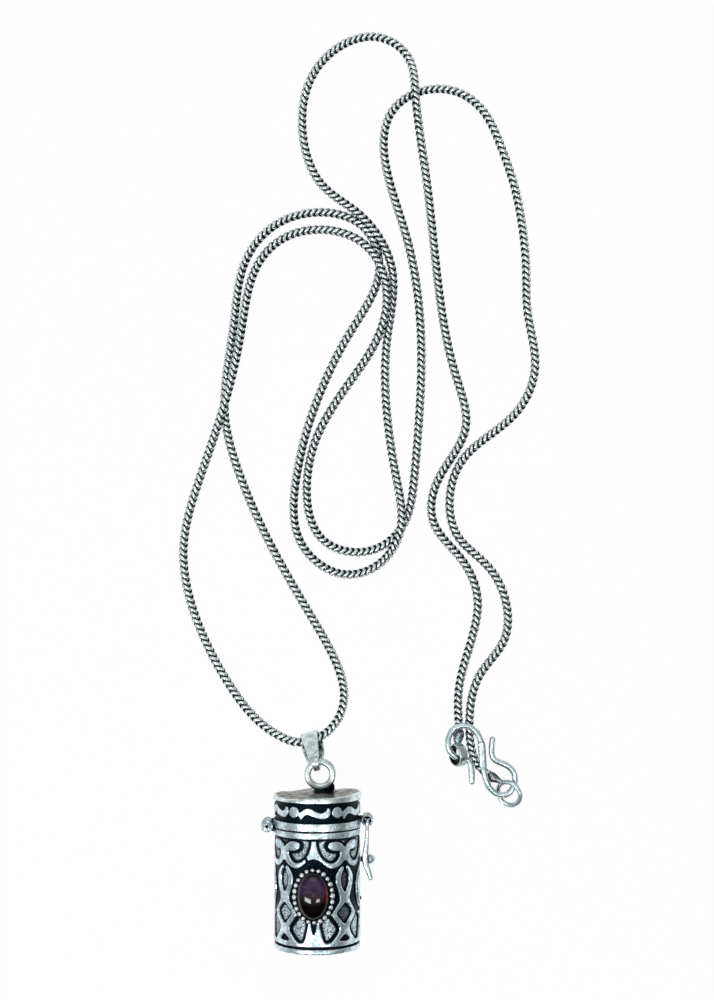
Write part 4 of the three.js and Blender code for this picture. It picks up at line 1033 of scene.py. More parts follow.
@dataclass
class Ornament:
    """The pierced scroll ornament, drawn on an unrolled quarter of the case.

    A place is (distance round the case from the middle of a panel, height over the base). The pattern
    is mirrored about the middle of a panel and about the line where two panels meet.
    """

    radius: float = 7.55
    low: float = 1.1
    high: float = 19.9
    turn: float = -3.6
    half: float = 7.55 * np.pi / 4
    scroll: Points = (
        (0.5, 20.08), (0.55, 19.27), (0.66, 18.56), (0.98, 17.64), (1.5, 16.78), (2.2, 16.19), (3.1, 15.83),
        (3.95, 16.06), (4.55, 16.62), (4.86, 17.39), (4.6, 17.84), (4.1, 17.78), (3.5, 17.84),
        (2.85, 18.05), (2.42, 18.55), (2.4, 19.1), (2.85, 19.5), (3.7, 19.68), (4.7, 19.5),
        (5.3, 19.17), (5.93, 18.46), (6.5, 19.17), (6.5, 20.08),
    )
    ground: Points = (
        (-0.6, 16.37), (0.0, 16.47), (0.55, 16.34), (1.2, 15.96), (1.8, 15.45), (2.4, 14.97),
        (3.05, 14.76), (3.75, 14.79), (4.55, 15.08), (5.2, 15.5), (5.93, 16.22), (6.6, 15.5),
        (6.7, 15.25), (6.4, 15.32), (6.12, 15.15), (6.0, 14.79), (5.78, 14.79), (5.66, 15.15),
        (5.38, 15.32), (5.0, 15.15), (4.65, 14.74), (4.25, 14.23), (3.92, 13.67), (3.78, 12.96),
        (3.85, 12.09), (4.2, 11.28), (4.6, 10.31), (4.76, 9.55), (4.52, 8.89), (4.0, 8.33),
        (3.5, 7.61), (3.0, 7), (2.4, 6.75), (-0.6, 6.75),
    )
    leaf: Points = (
        (5.93, 15.3), (5.74, 14.69), (5.3, 13.98), (5.02, 12.91), (5.25, 11.74), (5.93, 10.52),
        (6.53, 11.74), (6.76, 12.91), (6.48, 13.98), (6.04, 14.69),
    )
    diamond: Points = (
        (5.93, 8.9), (5.15, 8.1), (4.1, 7.11), (4.95, 6.1), (5.93, 5.02), (6.78, 6.19),
        (7.53, 7.11), (6.58, 8.02),
    )
    foot: Points = (
        (1.0, 5.73), (1.7, 6.24), (2.4, 6.65), (2.95, 6.77), (3.5, 6.14), (4.1, 5.37), (4.74, 4.56),
        (4.56, 3.8), (3.87, 2.98), (3.05, 2.17), (2.45, 2.09), (1.88, 2.17), (1.4, 3.8),
    )
    triangle: Points = ((5.93, 3.35), (5.3, 2.85), (4.7, 2.35), (5.93, 2.2), (6.93, 2.35), (6.43, 2.7))
    wedge: Points = ((-0.5, 5.53), (0.5, 5.53), (0.32, 4.71), (0.1, 3.69), (-0.1, 3.69), (-0.32, 4.71))

    def folded(self, angle: Array) -> tuple[Array, Array]:
        """Distance from the middle of the nearest panel, and which quarter that is, for angles in radians."""
        along = (angle - np.radians(self.turn)) * self.radius
        quarter = np.round(along / (2 * self.half)).astype(int)
        return np.abs(along - quarter * 2 * self.half), quarter % 4

    def marks(self, angle: Array, height: Array) -> tuple[Array, Array]:
        """How far each place stands out, and how brightly the ground shows there.

        The relief is the eased distance from the nearest window. Behind the stone every panel but the
        front one has an oval medallion. The ground shows bright in the middle of the larger windows.

        Args:
            angle, height: Places round the case, in radians, and over the base.
        Returns:
            Relief and patch, each from 0 to 1.
        """
        fold, quarter = self.folded(angle)
        places = np.stack([fold.ravel(), height.ravel()], 1)
        shapes = {name: outline_distance(places, softened(getattr(self, name))).reshape(fold.shape)
                  for name in ("scroll", "ground", "leaf", "diamond", "foot", "triangle", "wedge")}
        oval = (np.hypot(fold / 2.75, (height - 10.95) / 3.95) - 1) * 2.75
        neck = np.maximum(fold - 0.4, np.abs(height - 10.95) - 5.9)
        ring = np.abs(oval + 0.55) - 0.1
        medallion = np.maximum(np.minimum(oval, neck), -ring)
        ground = np.where(quarter == 0, shapes["ground"], np.maximum(shapes["ground"], -medallion))
        window = np.minimum(ground, np.minimum.reduce(
            [shapes[name] for name in ("scroll", "leaf", "diamond", "foot", "triangle", "wedge")]))
        cut = np.hypot((angle * self.radius + 1.62) * 0.9 + (height - 16.1) * 0.45,
                       0.2 * (height - 16.1)) - 0.12
        window = np.where(quarter == 0, np.minimum(window, cut), window)
        border = np.minimum(self.high - 0.1 - height, height - self.low - 0.12)
        relief = ease(0.02, 0.2, np.minimum(window, border))
        left = 0.5 - 0.5 * np.sign(angle)
        bright = {"scroll": 0.95 - 0.4 * left, "foot": 1.0 - 0.3 * left, "diamond": 0.25 + 0.75 * left,
                  "leaf": 0.2 + 0.8 * left}
        margins = {"scroll": 0.3, "foot": 0.34, "diamond": 0.2, "leaf": 0.2}
        patch = 0.0
        for name, value in bright.items():
            inwards = outline_distance(places + [0.2, 0.0], softened(getattr(self, name))).reshape(fold.shape)
            core = np.minimum(-inwards, -shapes[name])
            patch = patch + value * ease(margins[name], margins[name] + 0.28, core)
        return relief, np.clip(patch, 0, 1)


@dataclass
class LocketCase:
    """The case: base disc, wall, ornament, mouth band, collar, hinge tubes, pin and knob."""

    height: float = 21.1
    wall: float = 7.15
    wall_thick: float = 0.4
    outer: float = 7.55
    base: float = 1.0
    floor: float = 7.22
    band_outer: float = 7.6
    band_low: float = 20.0
    collar_outer: float = 6.65
    collar_wall: float = 0.3
    collar_low: float = 15.1
    collar_high: float = 22.6
    hinge: tuple[float, float] = (-8.8, 21.45)
    knuckle: float = 1.05
    knuckle_length: float = 1.4
    pin: float = 0.45
    play: float = 0.1
    knob: float = 0.93
    knob_height: float = 15.4
    knob_seat: float = 7.6
    ornament: Ornament = field(default_factory=Ornament)

    def turned_parts(self, looks: Finishes) -> None:
        """The base disc, the plain wall, the mouth band and the collar."""
        profile = divided(filleted([[0.01, 0], [self.outer, 0], [self.outer, self.base], [0.01, self.base]],
                                   0.34, 6), 0.5)
        rings = turned(profile, 160)
        uneven = ripple(11, (40, 3), np.arctan2(rings[..., 0], rings[..., 2] - PLACE.axis) / (2 * np.pi),
                        rings[..., 1] / 3)
        rings[..., 1] += 0.035 * uneven * (np.hypot(rings[..., 0], rings[..., 2] - PLACE.axis) > 5)
        edge = ease(0.04, 0.2, self.base - rings[..., 1])
        Piece("base_disc").add(rings, relief=0.15 + 0.85 * edge).build(
            Body.CASE, "silver", looks["band silver"], "case_base")
        wall = hollow(self.wall - self.wall_thick, self.wall, self.base, self.height, 0.08)
        Piece("plain_wall").add(turned(wall, 128), Ends.JOINED).build(
            Body.CASE, "oxidised_silver", looks["wall black"], "case_wall")
        band = hollow(self.wall + 0.05, self.band_outer, self.band_low, self.height, 0.16, 0.3)
        rings = turned(band, 176)
        self.roughen(rings, 12)
        middle = (self.band_low + self.height) / 2
        edge = ease(0.56, 0.42, np.abs(rings[..., 1] - middle))
        Piece("mouth_band").add(rings, Ends.JOINED, 0.2 + 0.8 * edge).build(
            Body.CASE, "silver", looks["band silver"], "case_top_band")
        collar = hollow(self.collar_outer - self.collar_wall, self.collar_outer, self.collar_low,
                        self.collar_high, 0.1)
        Piece("slip_collar").add(turned(collar, 128), Ends.JOINED).build(
            Body.CASE, "worn_silver", looks["collar silver"], "inner_collar")

    @staticmethod
    def roughen(rings: Array, seed: int, amount: float = 0.03) -> None:
        """Moves points out and in by a smooth noise round the axis, and up and down by half of it."""
        x, z = rings[..., 0], rings[..., 2] - PLACE.axis
        share = np.arctan2(x, z) / (2 * np.pi)
        bump = amount * ripple(seed, (37, 6), share, rings[..., 1] / 4)
        radius = np.hypot(x, z)
        rings[..., 0] += x / radius * bump
        rings[..., 2] += z / radius * bump
        rings[..., 1] += amount * 0.7 * ripple(seed + 50, (29, 2), share, 0 * share)

    def pierced_ornament(self, looks: Finishes) -> None:
        """The ornament as one sleeve: its outer radius is the ground's plus the relief times its height.

        The raised metal also swells by a soft noise, as sheet that was pierced and soldered by hand.
        """
        art = self.ornament
        columns, rows = 480, 180
        angle = np.linspace(-np.pi, np.pi, columns, endpoint=False)[None]
        height = np.linspace(art.low, art.high, rows)[:, None]
        angles, heights = np.broadcast_arrays(angle, height)
        relief, patch = art.marks(angles, heights)
        swell = 0.03 * ripple(14, (40, 16), angles / (2 * np.pi), heights / 20)
        dents = 0.05 * patch * ripple(15, (160, 64), angles / (2 * np.pi), heights / 20)
        radius = self.floor + (self.outer - self.floor + swell) * relief + dents * (1 - relief)
        radius = np.minimum(radius, self.outer + 0.02)
        radius = np.vstack([radius, np.full((2, columns), self.wall + 0.03)])
        angles = np.vstack([angles, angles[:2]])
        heights = np.vstack([heights, np.full((1, columns), art.high), np.full((1, columns), art.low)])
        rings = np.stack([radius * np.sin(angles), heights, PLACE.axis + radius * np.cos(angles)], -1)
        relief = np.vstack([relief, np.zeros((2, columns))])
        patch = np.vstack([patch, np.zeros((2, columns))])
        lump = self.blob((self.outer + 0.05, 8.55, PLACE.axis), (0.22, 0.3, 0.3), 16)
        Piece("pierced_ornament").add(rings, Ends.JOINED, relief, patch).add(lump, relief=0.35).build(
            Body.CASE, "silver", looks["ornament silver"], "case_openwork", sharp=80.0)

    def tube(self, centre: tuple[float, float], bore: float, low: float, high: float, seed: int) -> Array:
        """A hinge tube along z with rounded ends and uneven walls."""
        profile = hollow(bore, self.knuckle, low, high, 0.16, 0.25)
        turn = np.linspace(0, 2 * np.pi, 48, endpoint=False)[None]
        radius, along = profile[:, :1], profile[:, 1:]
        radius = radius * (1 + 0.03 * (radius > bore) * ripple(seed, (7, 3), turn / (2 * np.pi), along / 3))
        return np.stack([centre[0] + radius * np.cos(turn), centre[1] + radius * np.sin(turn),
                         PLACE.axis + along + 0 * turn], -1)

    def bored(self, rings: Array, centre: tuple[float, float], bore: float) -> Array:
        """Relief marks of a tube: black in the bore, bright beyond it."""
        reach = np.hypot(rings[..., 0] - centre[0], rings[..., 1] - centre[1])
        return 0.85 * ease(bore - 0.05, bore + 0.3, reach)

    @staticmethod
    def blob(centre: Points, size: Points, seed: int) -> Array:
        """A lump of solder: a ball stretched to size, with its surface moved by noise."""
        local = pearl(1.0, 12, 20)
        tilt = np.linspace(0, 1, 12)[:, None]
        turn = np.linspace(0, 1, 20, endpoint=False)[None]
        uneven = (1 + 0.16 * ripple(seed, (4, 6), tilt, turn))[..., None]
        return np.array(centre) + local * np.array(size) * uneven

    def hinge_parts(self, looks: Finishes) -> None:
        """The two tubes on the case with the solder that holds them, and the hollow pin."""
        near = self.knuckle_length / 2 + self.play
        far = near + self.knuckle_length
        x, y = self.hinge
        for name, node, low, high, seed in (
            ("front_hinge_tube", "case_knuckle_front", near, far, 21),
            ("back_hinge_tube", "case_knuckle_back", -far, -near, 22),
        ):
            middle = PLACE.axis + (low + high) / 2
            rings = self.tube(self.hinge, self.pin + self.play, low, high, seed)
            relief = self.bored(rings, self.hinge, self.pin + self.play)
            piece = Piece(name).add(rings, Ends.JOINED, relief)
            piece.add(self.blob((x + 1.12, y - 0.55, middle), (0.42, 0.4, 0.55), seed + 5), relief=0.35)
            piece.build(Body.CASE, "worn_silver", looks["solder silver"], node)
        end = far + self.play
        profile = filleted([[0.16, 0.0], [0.16, end], [0.2, end + 0.2], [0.66, end + 0.18], [0.68, end],
                            [self.pin, end - 0.02], [self.pin, 0.0]], 0.08)
        profile = np.vstack([profile, profile[-2:0:-1] * np.array([1.0, -1.0])])
        turn = np.linspace(0, 2 * np.pi, 40, endpoint=False)[None]
        rings = np.stack([x + profile[:, :1] * np.cos(turn), y + profile[:, :1] * np.sin(turn),
                          PLACE.axis + profile[:, 1:] + 0 * turn], -1)
        relief = 0.2 + 0.7 * ease(0.2, 0.4, profile[:, :1] + 0 * turn)
        Piece("hollow_pin").add(rings, Ends.JOINED, relief).build(
            Body.CASE, "silver", looks["solder silver"], "hinge_pin")

    def knob_part(self, looks: Finishes) -> None:
        """The knob: a post that runs into a ball along x."""
        centre = self.knob_seat + 0.95 + self.knob * 0.75
        lean = np.linspace(np.arcsin(0.4 / self.knob), np.pi - 0.05, 20)
        ball = np.stack([self.knob * np.sin(lean), centre - self.knob * np.cos(lean)], 1)
        profile = np.vstack([[[0.5, self.knob_seat]], [[0.42, self.knob_seat + 0.3]], ball])
        turn = np.linspace(0, 2 * np.pi, 36, endpoint=False)[None]
        rings = np.stack([profile[:, 1:] + 0 * turn, self.knob_height + profile[:, :1] * np.cos(turn),
                          PLACE.axis + profile[:, :1] * np.sin(turn)], -1)
        relief = 0.3 + 0.6 * ease(8.2, 8.9, rings[..., 0])
        Piece("latch_ball").add(rings, relief=relief).build(
            Body.CASE, "silver", looks["wire silver"], "latch_knob")

    def make(self, looks: Finishes) -> None:
        """Builds every piece of the case."""
        self.turned_parts(looks)
        self.pierced_ornament(looks)
        self.hinge_parts(looks)
        self.knob_part(looks)


# Stone and setting


@dataclass
class StoneSetting:
    """The oval stone in its bezel, on a blackened plate inside a rim of beads."""

    turn: float = -3.6
    height: float = 10.36
    half_width: float = 2.55
    half_length: float = 3.8
    thick: float = 2.1
    plate_top: float = 7.8
    seat: float = 7.85
    bead: float = 0.44
    beads: int = 24
    bead_gap: float = 0.67

    def set_out(self, local: Array) -> Array:
        """Local (across, along the case, outwards) places turned to the stone's direction."""
        turn = np.radians(self.turn)
        across, along, out = local[..., 0], local[..., 1], local[..., 2]
        return np.stack([across * np.cos(turn) + out * np.sin(turn), along + self.height,
                         PLACE.axis - across * np.sin(turn) + out * np.cos(turn)], -1)

    def oval_rings(self, rows: Points, sides: int = 96) -> Array:
        """Rings of (growth beyond the stone's outline, height outwards) rows."""
        turn = np.linspace(0, 2 * np.pi, sides, endpoint=False)[None]
        row = np.asarray(rows, float)
        grow, out = row[:, :1], row[:, 1:]
        return self.set_out(np.stack([(self.half_width + grow) * np.cos(turn),
                                      (self.half_length + grow) * np.sin(turn), out + 0 * turn], -1))

    def stone(self) -> None:
        """The cabochon: ovals that shrink by cos(t) ** 0.9 while they rise by sin(t)."""
        t = np.linspace(0, np.pi / 2 - 0.02, 40)[:, None]
        turn = np.linspace(0, 2 * np.pi, 128, endpoint=False)[None]
        shrink = np.cos(t) ** 0.9
        rise = self.seat + 0.12 + (self.thick - 0.12) * np.sin(t)
        wide, tall = self.half_width + 0.3, self.half_length + 0.42
        local = np.stack([wide * shrink * np.cos(turn), tall * shrink * np.sin(turn), rise + 0 * turn], -1)
        base = np.stack([0.93 * wide * np.cos(turn), 0.93 * tall * np.sin(turn), self.seat + 0 * turn], -1)
        made = Piece("cabochon").add(self.set_out(np.vstack([base, local]) + np.array([-0.06, 0.02, 0.0])))
        centre = PLACE.metres(self.set_out(np.array([0.0, 0.0, self.seat + self.thick / 2])))
        made.build(Body.CASE, "garnet", Garnet().make(centre, self.half_width * MM), "garnet_cabochon",
                   sharp=60.0)

    def metal(self, looks: Finishes) -> None:
        """The plate, the thin bezel pressed over the stone, and the beads on their wire."""
        edge = self.bead_gap + 0.35
        turn = np.linspace(0, 2 * np.pi, 96, endpoint=False)[None]
        rows = np.array([[edge, 0.0], [edge, 0.86], [edge - 0.1, 1.0], [-1.2, 1.0], [-1.2, 0.0]])
        across = (self.half_width + rows[:, :1]) * np.cos(turn)
        along = (self.half_length + rows[:, :1]) * np.sin(turn)
        under = np.sqrt(7.21**2 - across**2)
        out = under + (self.plate_top - under) * rows[:, 1:]
        plate = self.set_out(np.stack([across, along, out], -1))
        Piece("oval_plate").add(plate, Ends.JOINED, 0.0).build(
            Body.CASE, "oxidised_silver", looks["ornament silver"], "stone_plate")
        bezel = self.oval_rings([[0.4, self.seat], [0.4, self.seat + 0.5], [0.36, self.seat + 0.7],
                                 [0.28, self.seat + 0.78], [0.19, self.seat + 0.74], [0.24, self.seat + 0.55],
                                 [0.26, self.seat]])
        Piece("bezel_wall").add(bezel, Ends.JOINED, 0.0).build(
            Body.CASE, "worn_silver", looks["solder silver"], "bezel_cup")
        fine = np.linspace(0, 2 * np.pi, 1440, endpoint=False)
        oval = np.stack([(self.half_width + self.bead_gap) * np.cos(fine),
                         (self.half_length + self.bead_gap) * np.sin(fine)], 1)
        walked = np.concatenate([[0], np.cumsum(np.linalg.norm(np.diff(oval, axis=0), axis=1))])
        whole = walked[-1] + np.linalg.norm(oval[0] - oval[-1])
        at = (np.arange(self.beads) + 0.15) / self.beads * whole
        spot = np.stack([np.interp(at, walked, oval[:, 0]), np.interp(at, walked, oval[:, 1]),
                         np.full(self.beads, self.seat + self.bead)], 1)
        rng = np.random.default_rng(31)
        sizes = (rng.uniform(0.86, 1.05, (self.beads, 1, 1, 1))
                 * rng.uniform(0.92, 1.08, (self.beads, 1, 1, 3)))
        ball = pearl(self.bead, 10, 16)
        balls = spot[:, None, None] + ball[None] * sizes
        relief = 0.05 + 0.95 * ease(-0.12, 0.12, ball[..., 2])
        piece = Piece("bead_rim").add(self.set_out(balls), relief=np.broadcast_to(relief, balls.shape[:3]))
        away = spot * np.array([1.07, 1.05, 1.0]) - np.array([0.0, 0.0, 0.16])
        tails = away[:, None, None] + 0.72 * ball[None]
        piece.add(self.set_out(tails), relief=0.42)
        gap = self.bead_gap
        wire_rows = [[gap + 0.16, self.seat + 0.3], [gap, self.seat + 0.44], [gap - 0.16, self.seat + 0.3],
                     [gap, self.seat + 0.1]]
        piece.add(self.oval_rings(wire_rows, 120), Ends.JOINED, 0.0)
        piece.build(Body.CASE, "silver", looks["chain silver"], "beaded_rim")


# Lid


@dataclass
class LocketLid:
    """The lid: top, wall with waves and dots, band, hanging ring on its seat, and two tubes."""

    foot: float = 21.25
    top: float = 27.5
    top_thick: float = 1.42
    wall: float = 7.3
    wall_thick: float = 0.3
    rim: float = 7.7
    band: float = 1.5
    relief: float = 0.3
    repeats: int = 6
    turn: float = -31.5
    dot: tuple[float, float, float] = (0.0, 24.55, 1.0)
    wave: Points = (
        (9.2, 24.66), (13.7, 25.15), (18.4, 25.42), (25.2, 25.3), (31.9, 24.76), (37.5, 24.56), (42, 24.72),
        (45.2, 25.04), (45.3, 25.41), (47.4, 25.48), (49.5, 25.31), (50.4, 24.91), (50.7, 24.55), (48.9, 23.87),
        (44.3, 23.5), (37.5, 23.46), (29.7, 23.72), (22.9, 24.14), (18.4, 24.2), (14.5, 23.9), (10.6, 23.1),
        (8.6, 23.7), (5.6, 23.85), (5.2, 24.6),
    )
    ring_centre: tuple[float, float] = (0.5, 30.36)
    ring_radius: float = 2.2
    ring_wire: float = 0.6
    latch: tuple[float, float] = (8.8, 22.4)
    latch_length: float = 2.6
    latch_bore: float = 0.45

    def walls(self, looks: Finishes) -> None:
        """The wall with its raised waves and dots, and the band under it.

        The wall's outer radius is the wall's plus the relief times its height; the relief is the eased
        distance to the outline of the wave or the dot.
        """
        high = self.top - self.top_thick
        columns, rows = 600, 62
        angle = np.linspace(0, 2 * np.pi, columns, endpoint=False)[None]
        height = np.linspace(self.foot, high, rows)[:, None]
        angles, heights = np.broadcast_arrays(angle, height)
        turn = (np.degrees(angles) - self.turn) % (360 / self.repeats)
        outer = self.wall + self.relief
        scale = np.radians(outer)
        places = np.stack([(turn * scale).ravel(), heights.ravel()], 1)
        outline = softened(np.array(self.wave) * np.array([scale, 1.0]))
        distance = outline_distance(places, outline).reshape(angles.shape)
        pitch = 360 / self.repeats
        around = np.minimum(turn, pitch - turn) * scale
        dots = np.hypot(around, heights - self.dot[1]) - self.dot[2]
        inside = np.minimum(distance, dots)
        relief = ease(0.07, -0.12, inside)
        soft = 0.03 * ripple(41, (60, 5), angles / (2 * np.pi), heights / 6)
        radius = np.minimum(self.wall + (self.relief + soft) * relief, outer)
        inner = self.wall - self.wall_thick
        radius = np.vstack([radius, np.full((2, columns), inner)])
        heights = np.vstack([heights, np.full((1, columns), high), np.full((1, columns), self.foot)])
        angles = np.vstack([angles, angles[:2]])
        rings = np.stack([radius * np.sin(angles), heights, PLACE.axis + radius * np.cos(angles)], -1)
        relief = np.vstack([relief, np.zeros((2, columns))])
        Piece("wave_wall").add(rings, Ends.JOINED, relief).build(
            Body.LID, "oxidised_silver", looks["lid relief silver"], "lid_wall", sharp=80.0)
        band = hollow(self.wall + 0.05, self.rim, self.foot, self.foot + self.band, 0.16, 0.3)
        rings = turned(band, 176)
        LocketCase.roughen(rings, 43)
        edge = ease(0.7, 0.55, np.abs(rings[..., 1] - self.foot - self.band / 2))
        Piece("seam_band").add(rings, Ends.JOINED, 0.2 + 0.8 * edge).build(
            Body.LID, "silver", looks["band silver"], "lid_band")

    def disc(self, looks: Finishes) -> None:
        """The top disc, with an uneven hammered rim, and the dark mound that the ring stands in."""
        low = self.top - self.top_thick
        profile = divided(filleted([[0.01, low], [self.rim - 0.1, low], [self.rim, low + 0.1],
                                    [self.rim, self.top], [0.01, self.top]], 0.28, 6), 0.35)
        rings = turned(profile, 192)
        x, z = rings[..., 0], rings[..., 2] - PLACE.axis
        radius, share = np.hypot(x, z), np.arctan2(x, z) / (2 * np.pi)
        upper = ease(low + 0.2, self.top - 0.1, rings[..., 1])
        rim = ease(6.4, 7.3, radius)
        rings[..., 1] += upper * (0.08 * rim * ripple(45, (33, 1), share, 0 * share)
                                  + 0.04 * ripple(46, (9, 4), share, radius / 8)
                                   - 0.1 * ease(7.2, 5.0, radius))
        dip = np.exp(-((x - 3.4) / 0.8) ** 2) * ease(-3.0, -7.0, z)
        rings[..., 1] -= upper * (0.14 + 0.45 * ease(1.0, -6.5, x) + 0.4 * ease(-1.0, -7.7, z)
                                  + 0.32 * ease(1.5, 7.7, z) + 0.3 * dip)
        rings[..., 1] = np.minimum(rings[..., 1], self.top + 0.05)
        foot = np.hypot((x - self.ring_centre[0] - 1.3) / 1.4, z)
        relief = 0.72 + 0.28 * rim - 0.6 * ease(2.0, 0.8, foot) * upper
        relief = np.where(rings[..., 1] < low + 0.12, 0.25, relief)
        # Painted reflection: the top face inside the rim takes the warm grey tone of the lid top silver.
        face = ease(7.45, 7.2, radius) * upper
        Piece("top_disc").add(rings, relief=relief, patch=face).build(
            Body.LID, "silver", looks["lid top silver"], "lid_top")
        t = np.linspace(0, np.pi / 2 - 0.05, 14)[:, None]
        turn = np.linspace(0, 2 * np.pi, 40, endpoint=False)[None]
        reach = 1.25 * np.cos(t) ** 0.7 * (1 + 0.12 * ripple(47, (6, 3), turn / (2 * np.pi), t / 3))
        mound = np.stack([self.ring_centre[0] + reach * np.sin(turn),
                          self.top - 0.3 + 0.6 * np.sin(t) + 0 * turn,
                          PLACE.axis + reach * np.cos(turn)], -1)
        piece = Piece("solder_mound").add(mound, relief=0.3)
        run = LocketCase.blob((self.ring_centre[0] + 1.75, self.top + 0.45, PLACE.axis - 0.1),
                              (0.85, 1.05, 0.6), 49)
        piece.add(run, relief=0.12)
        piece.build(Body.LID, "oxidised_silver", looks["solder silver"], "ring_seat")

    def ring(self, looks: Finishes) -> None:
        """The hanging ring, its wire a little flattened and uneven."""
        local = ring_of(self.ring_radius, self.ring_wire, self.ring_wire, 110, 24, 0.07, 48, 2.6)
        rings = placed(local, (*self.ring_centre, PLACE.axis), (0, 0, 1), (1, 0, 0))
        # Painted shade: the wire's inner and outer edges are darker than its top and bottom.
        relief = 0.35 + 0.65 * ease(0.1, 0.32, np.abs(rings[..., 2] - PLACE.axis))
        Piece("loop_ring").add(rings, Ends.JOINED, relief).build(
            Body.LID, "silver", looks["bail silver"], "hanging_ring")

    def tubes(self, looks: Finishes, case: LocketCase) -> None:
        """The lid's hinge tube and the latch's tube, each with its solder."""
        half = case.knuckle_length / 2
        x, y = case.hinge
        rings = case.tube(case.hinge, case.pin + case.play, -half, half, 51)
        relief = case.bored(rings, case.hinge, case.pin + case.play)
        piece = Piece("lid_hinge_tube").add(rings, Ends.JOINED, relief)
        piece.add(case.blob((x + 1.1, y + 0.75, PLACE.axis), (0.42, 0.42, 0.55), 52), relief=0.35)
        piece.build(Body.LID, "worn_silver", looks["solder silver"], "lid_knuckle")
        half = self.latch_length / 2
        x, y = self.latch
        rings = case.tube(self.latch, self.latch_bore, -half, half, 53)
        piece = Piece("latch_tube").add(rings, Ends.JOINED,
                                        case.bored(rings, self.latch, self.latch_bore + 0.15))
        piece.add(case.blob((x - 1.15, y + 0.1, PLACE.axis), (0.4, 0.62, 1.1), 54), relief=0.3)
        piece.build(Body.LID, "worn_silver", looks["solder silver"], "latch_knuckle")

    def make(self, looks: Finishes, case: LocketCase) -> None:
        """Builds every piece of the lid."""
        self.walls(looks)
        self.disc(looks)
        self.ring(looks)
        self.tubes(looks, case)


@dataclass
class LatchWire:
    """The wire that turns in its tube and hangs down over the knob."""

    radius: float = 0.35
    pivot: tuple[float, float] = (8.8, 22.4)
    back: float = 1.45
    reach: float = 7.0
    over: float = 1.43

    def make(self, looks: Finishes) -> bpy.types.Object:
        """Makes the wire along its route: through the tube, round its mouth, down and over the knob."""
        x, y = self.pivot
        front = self.back + self.radius
        route = [
            (x, y, -self.back), (x, y, 0.0), (x, y, self.back - 0.1), (x, y - 0.14, front - 0.06),
            (x, y - 0.5, front), (x - 0.02, y - 0.28 * self.reach, front),
            (x - 0.25, y - 0.74 * self.reach, self.over + 0.08), (x - 0.42, y - 0.97 * self.reach, self.over),
            (x - 0.2, y - 1.12 * self.reach, self.over + 0.02),
            (x + 0.2, y - 1.27 * self.reach, self.over + 0.05),
            (x + 0.7, y - 1.5 * self.reach, self.over + 0.1),
        ]
        points = np.array(route) + np.array([0.0, 0.0, PLACE.axis])
        track = Track(spline(points, 0.06), np.array([1.0, 0.0, 0.0]))

        def beaten(at: Array) -> tuple[Array, Array]:
            share = at / track.length
            broad = 0.85 + 0.6 * ease(0.3, 0.72, share) - 0.35 * ease(0.8, 0.97, share)
            return broad, 1.0 - 0.25 * ease(0.3, 0.72, share)

        rings = wire(track, self.radius, 18, 0.1, beaten)
        # Painted shade: the wire's underside is darker than its top.
        piece = Piece("latch_bent_wire").add(rings, relief=painted_underside_shade(rings))
        return piece.build(Body.LATCH, "silver", looks["wire silver"], "latch_wire")


# Studio


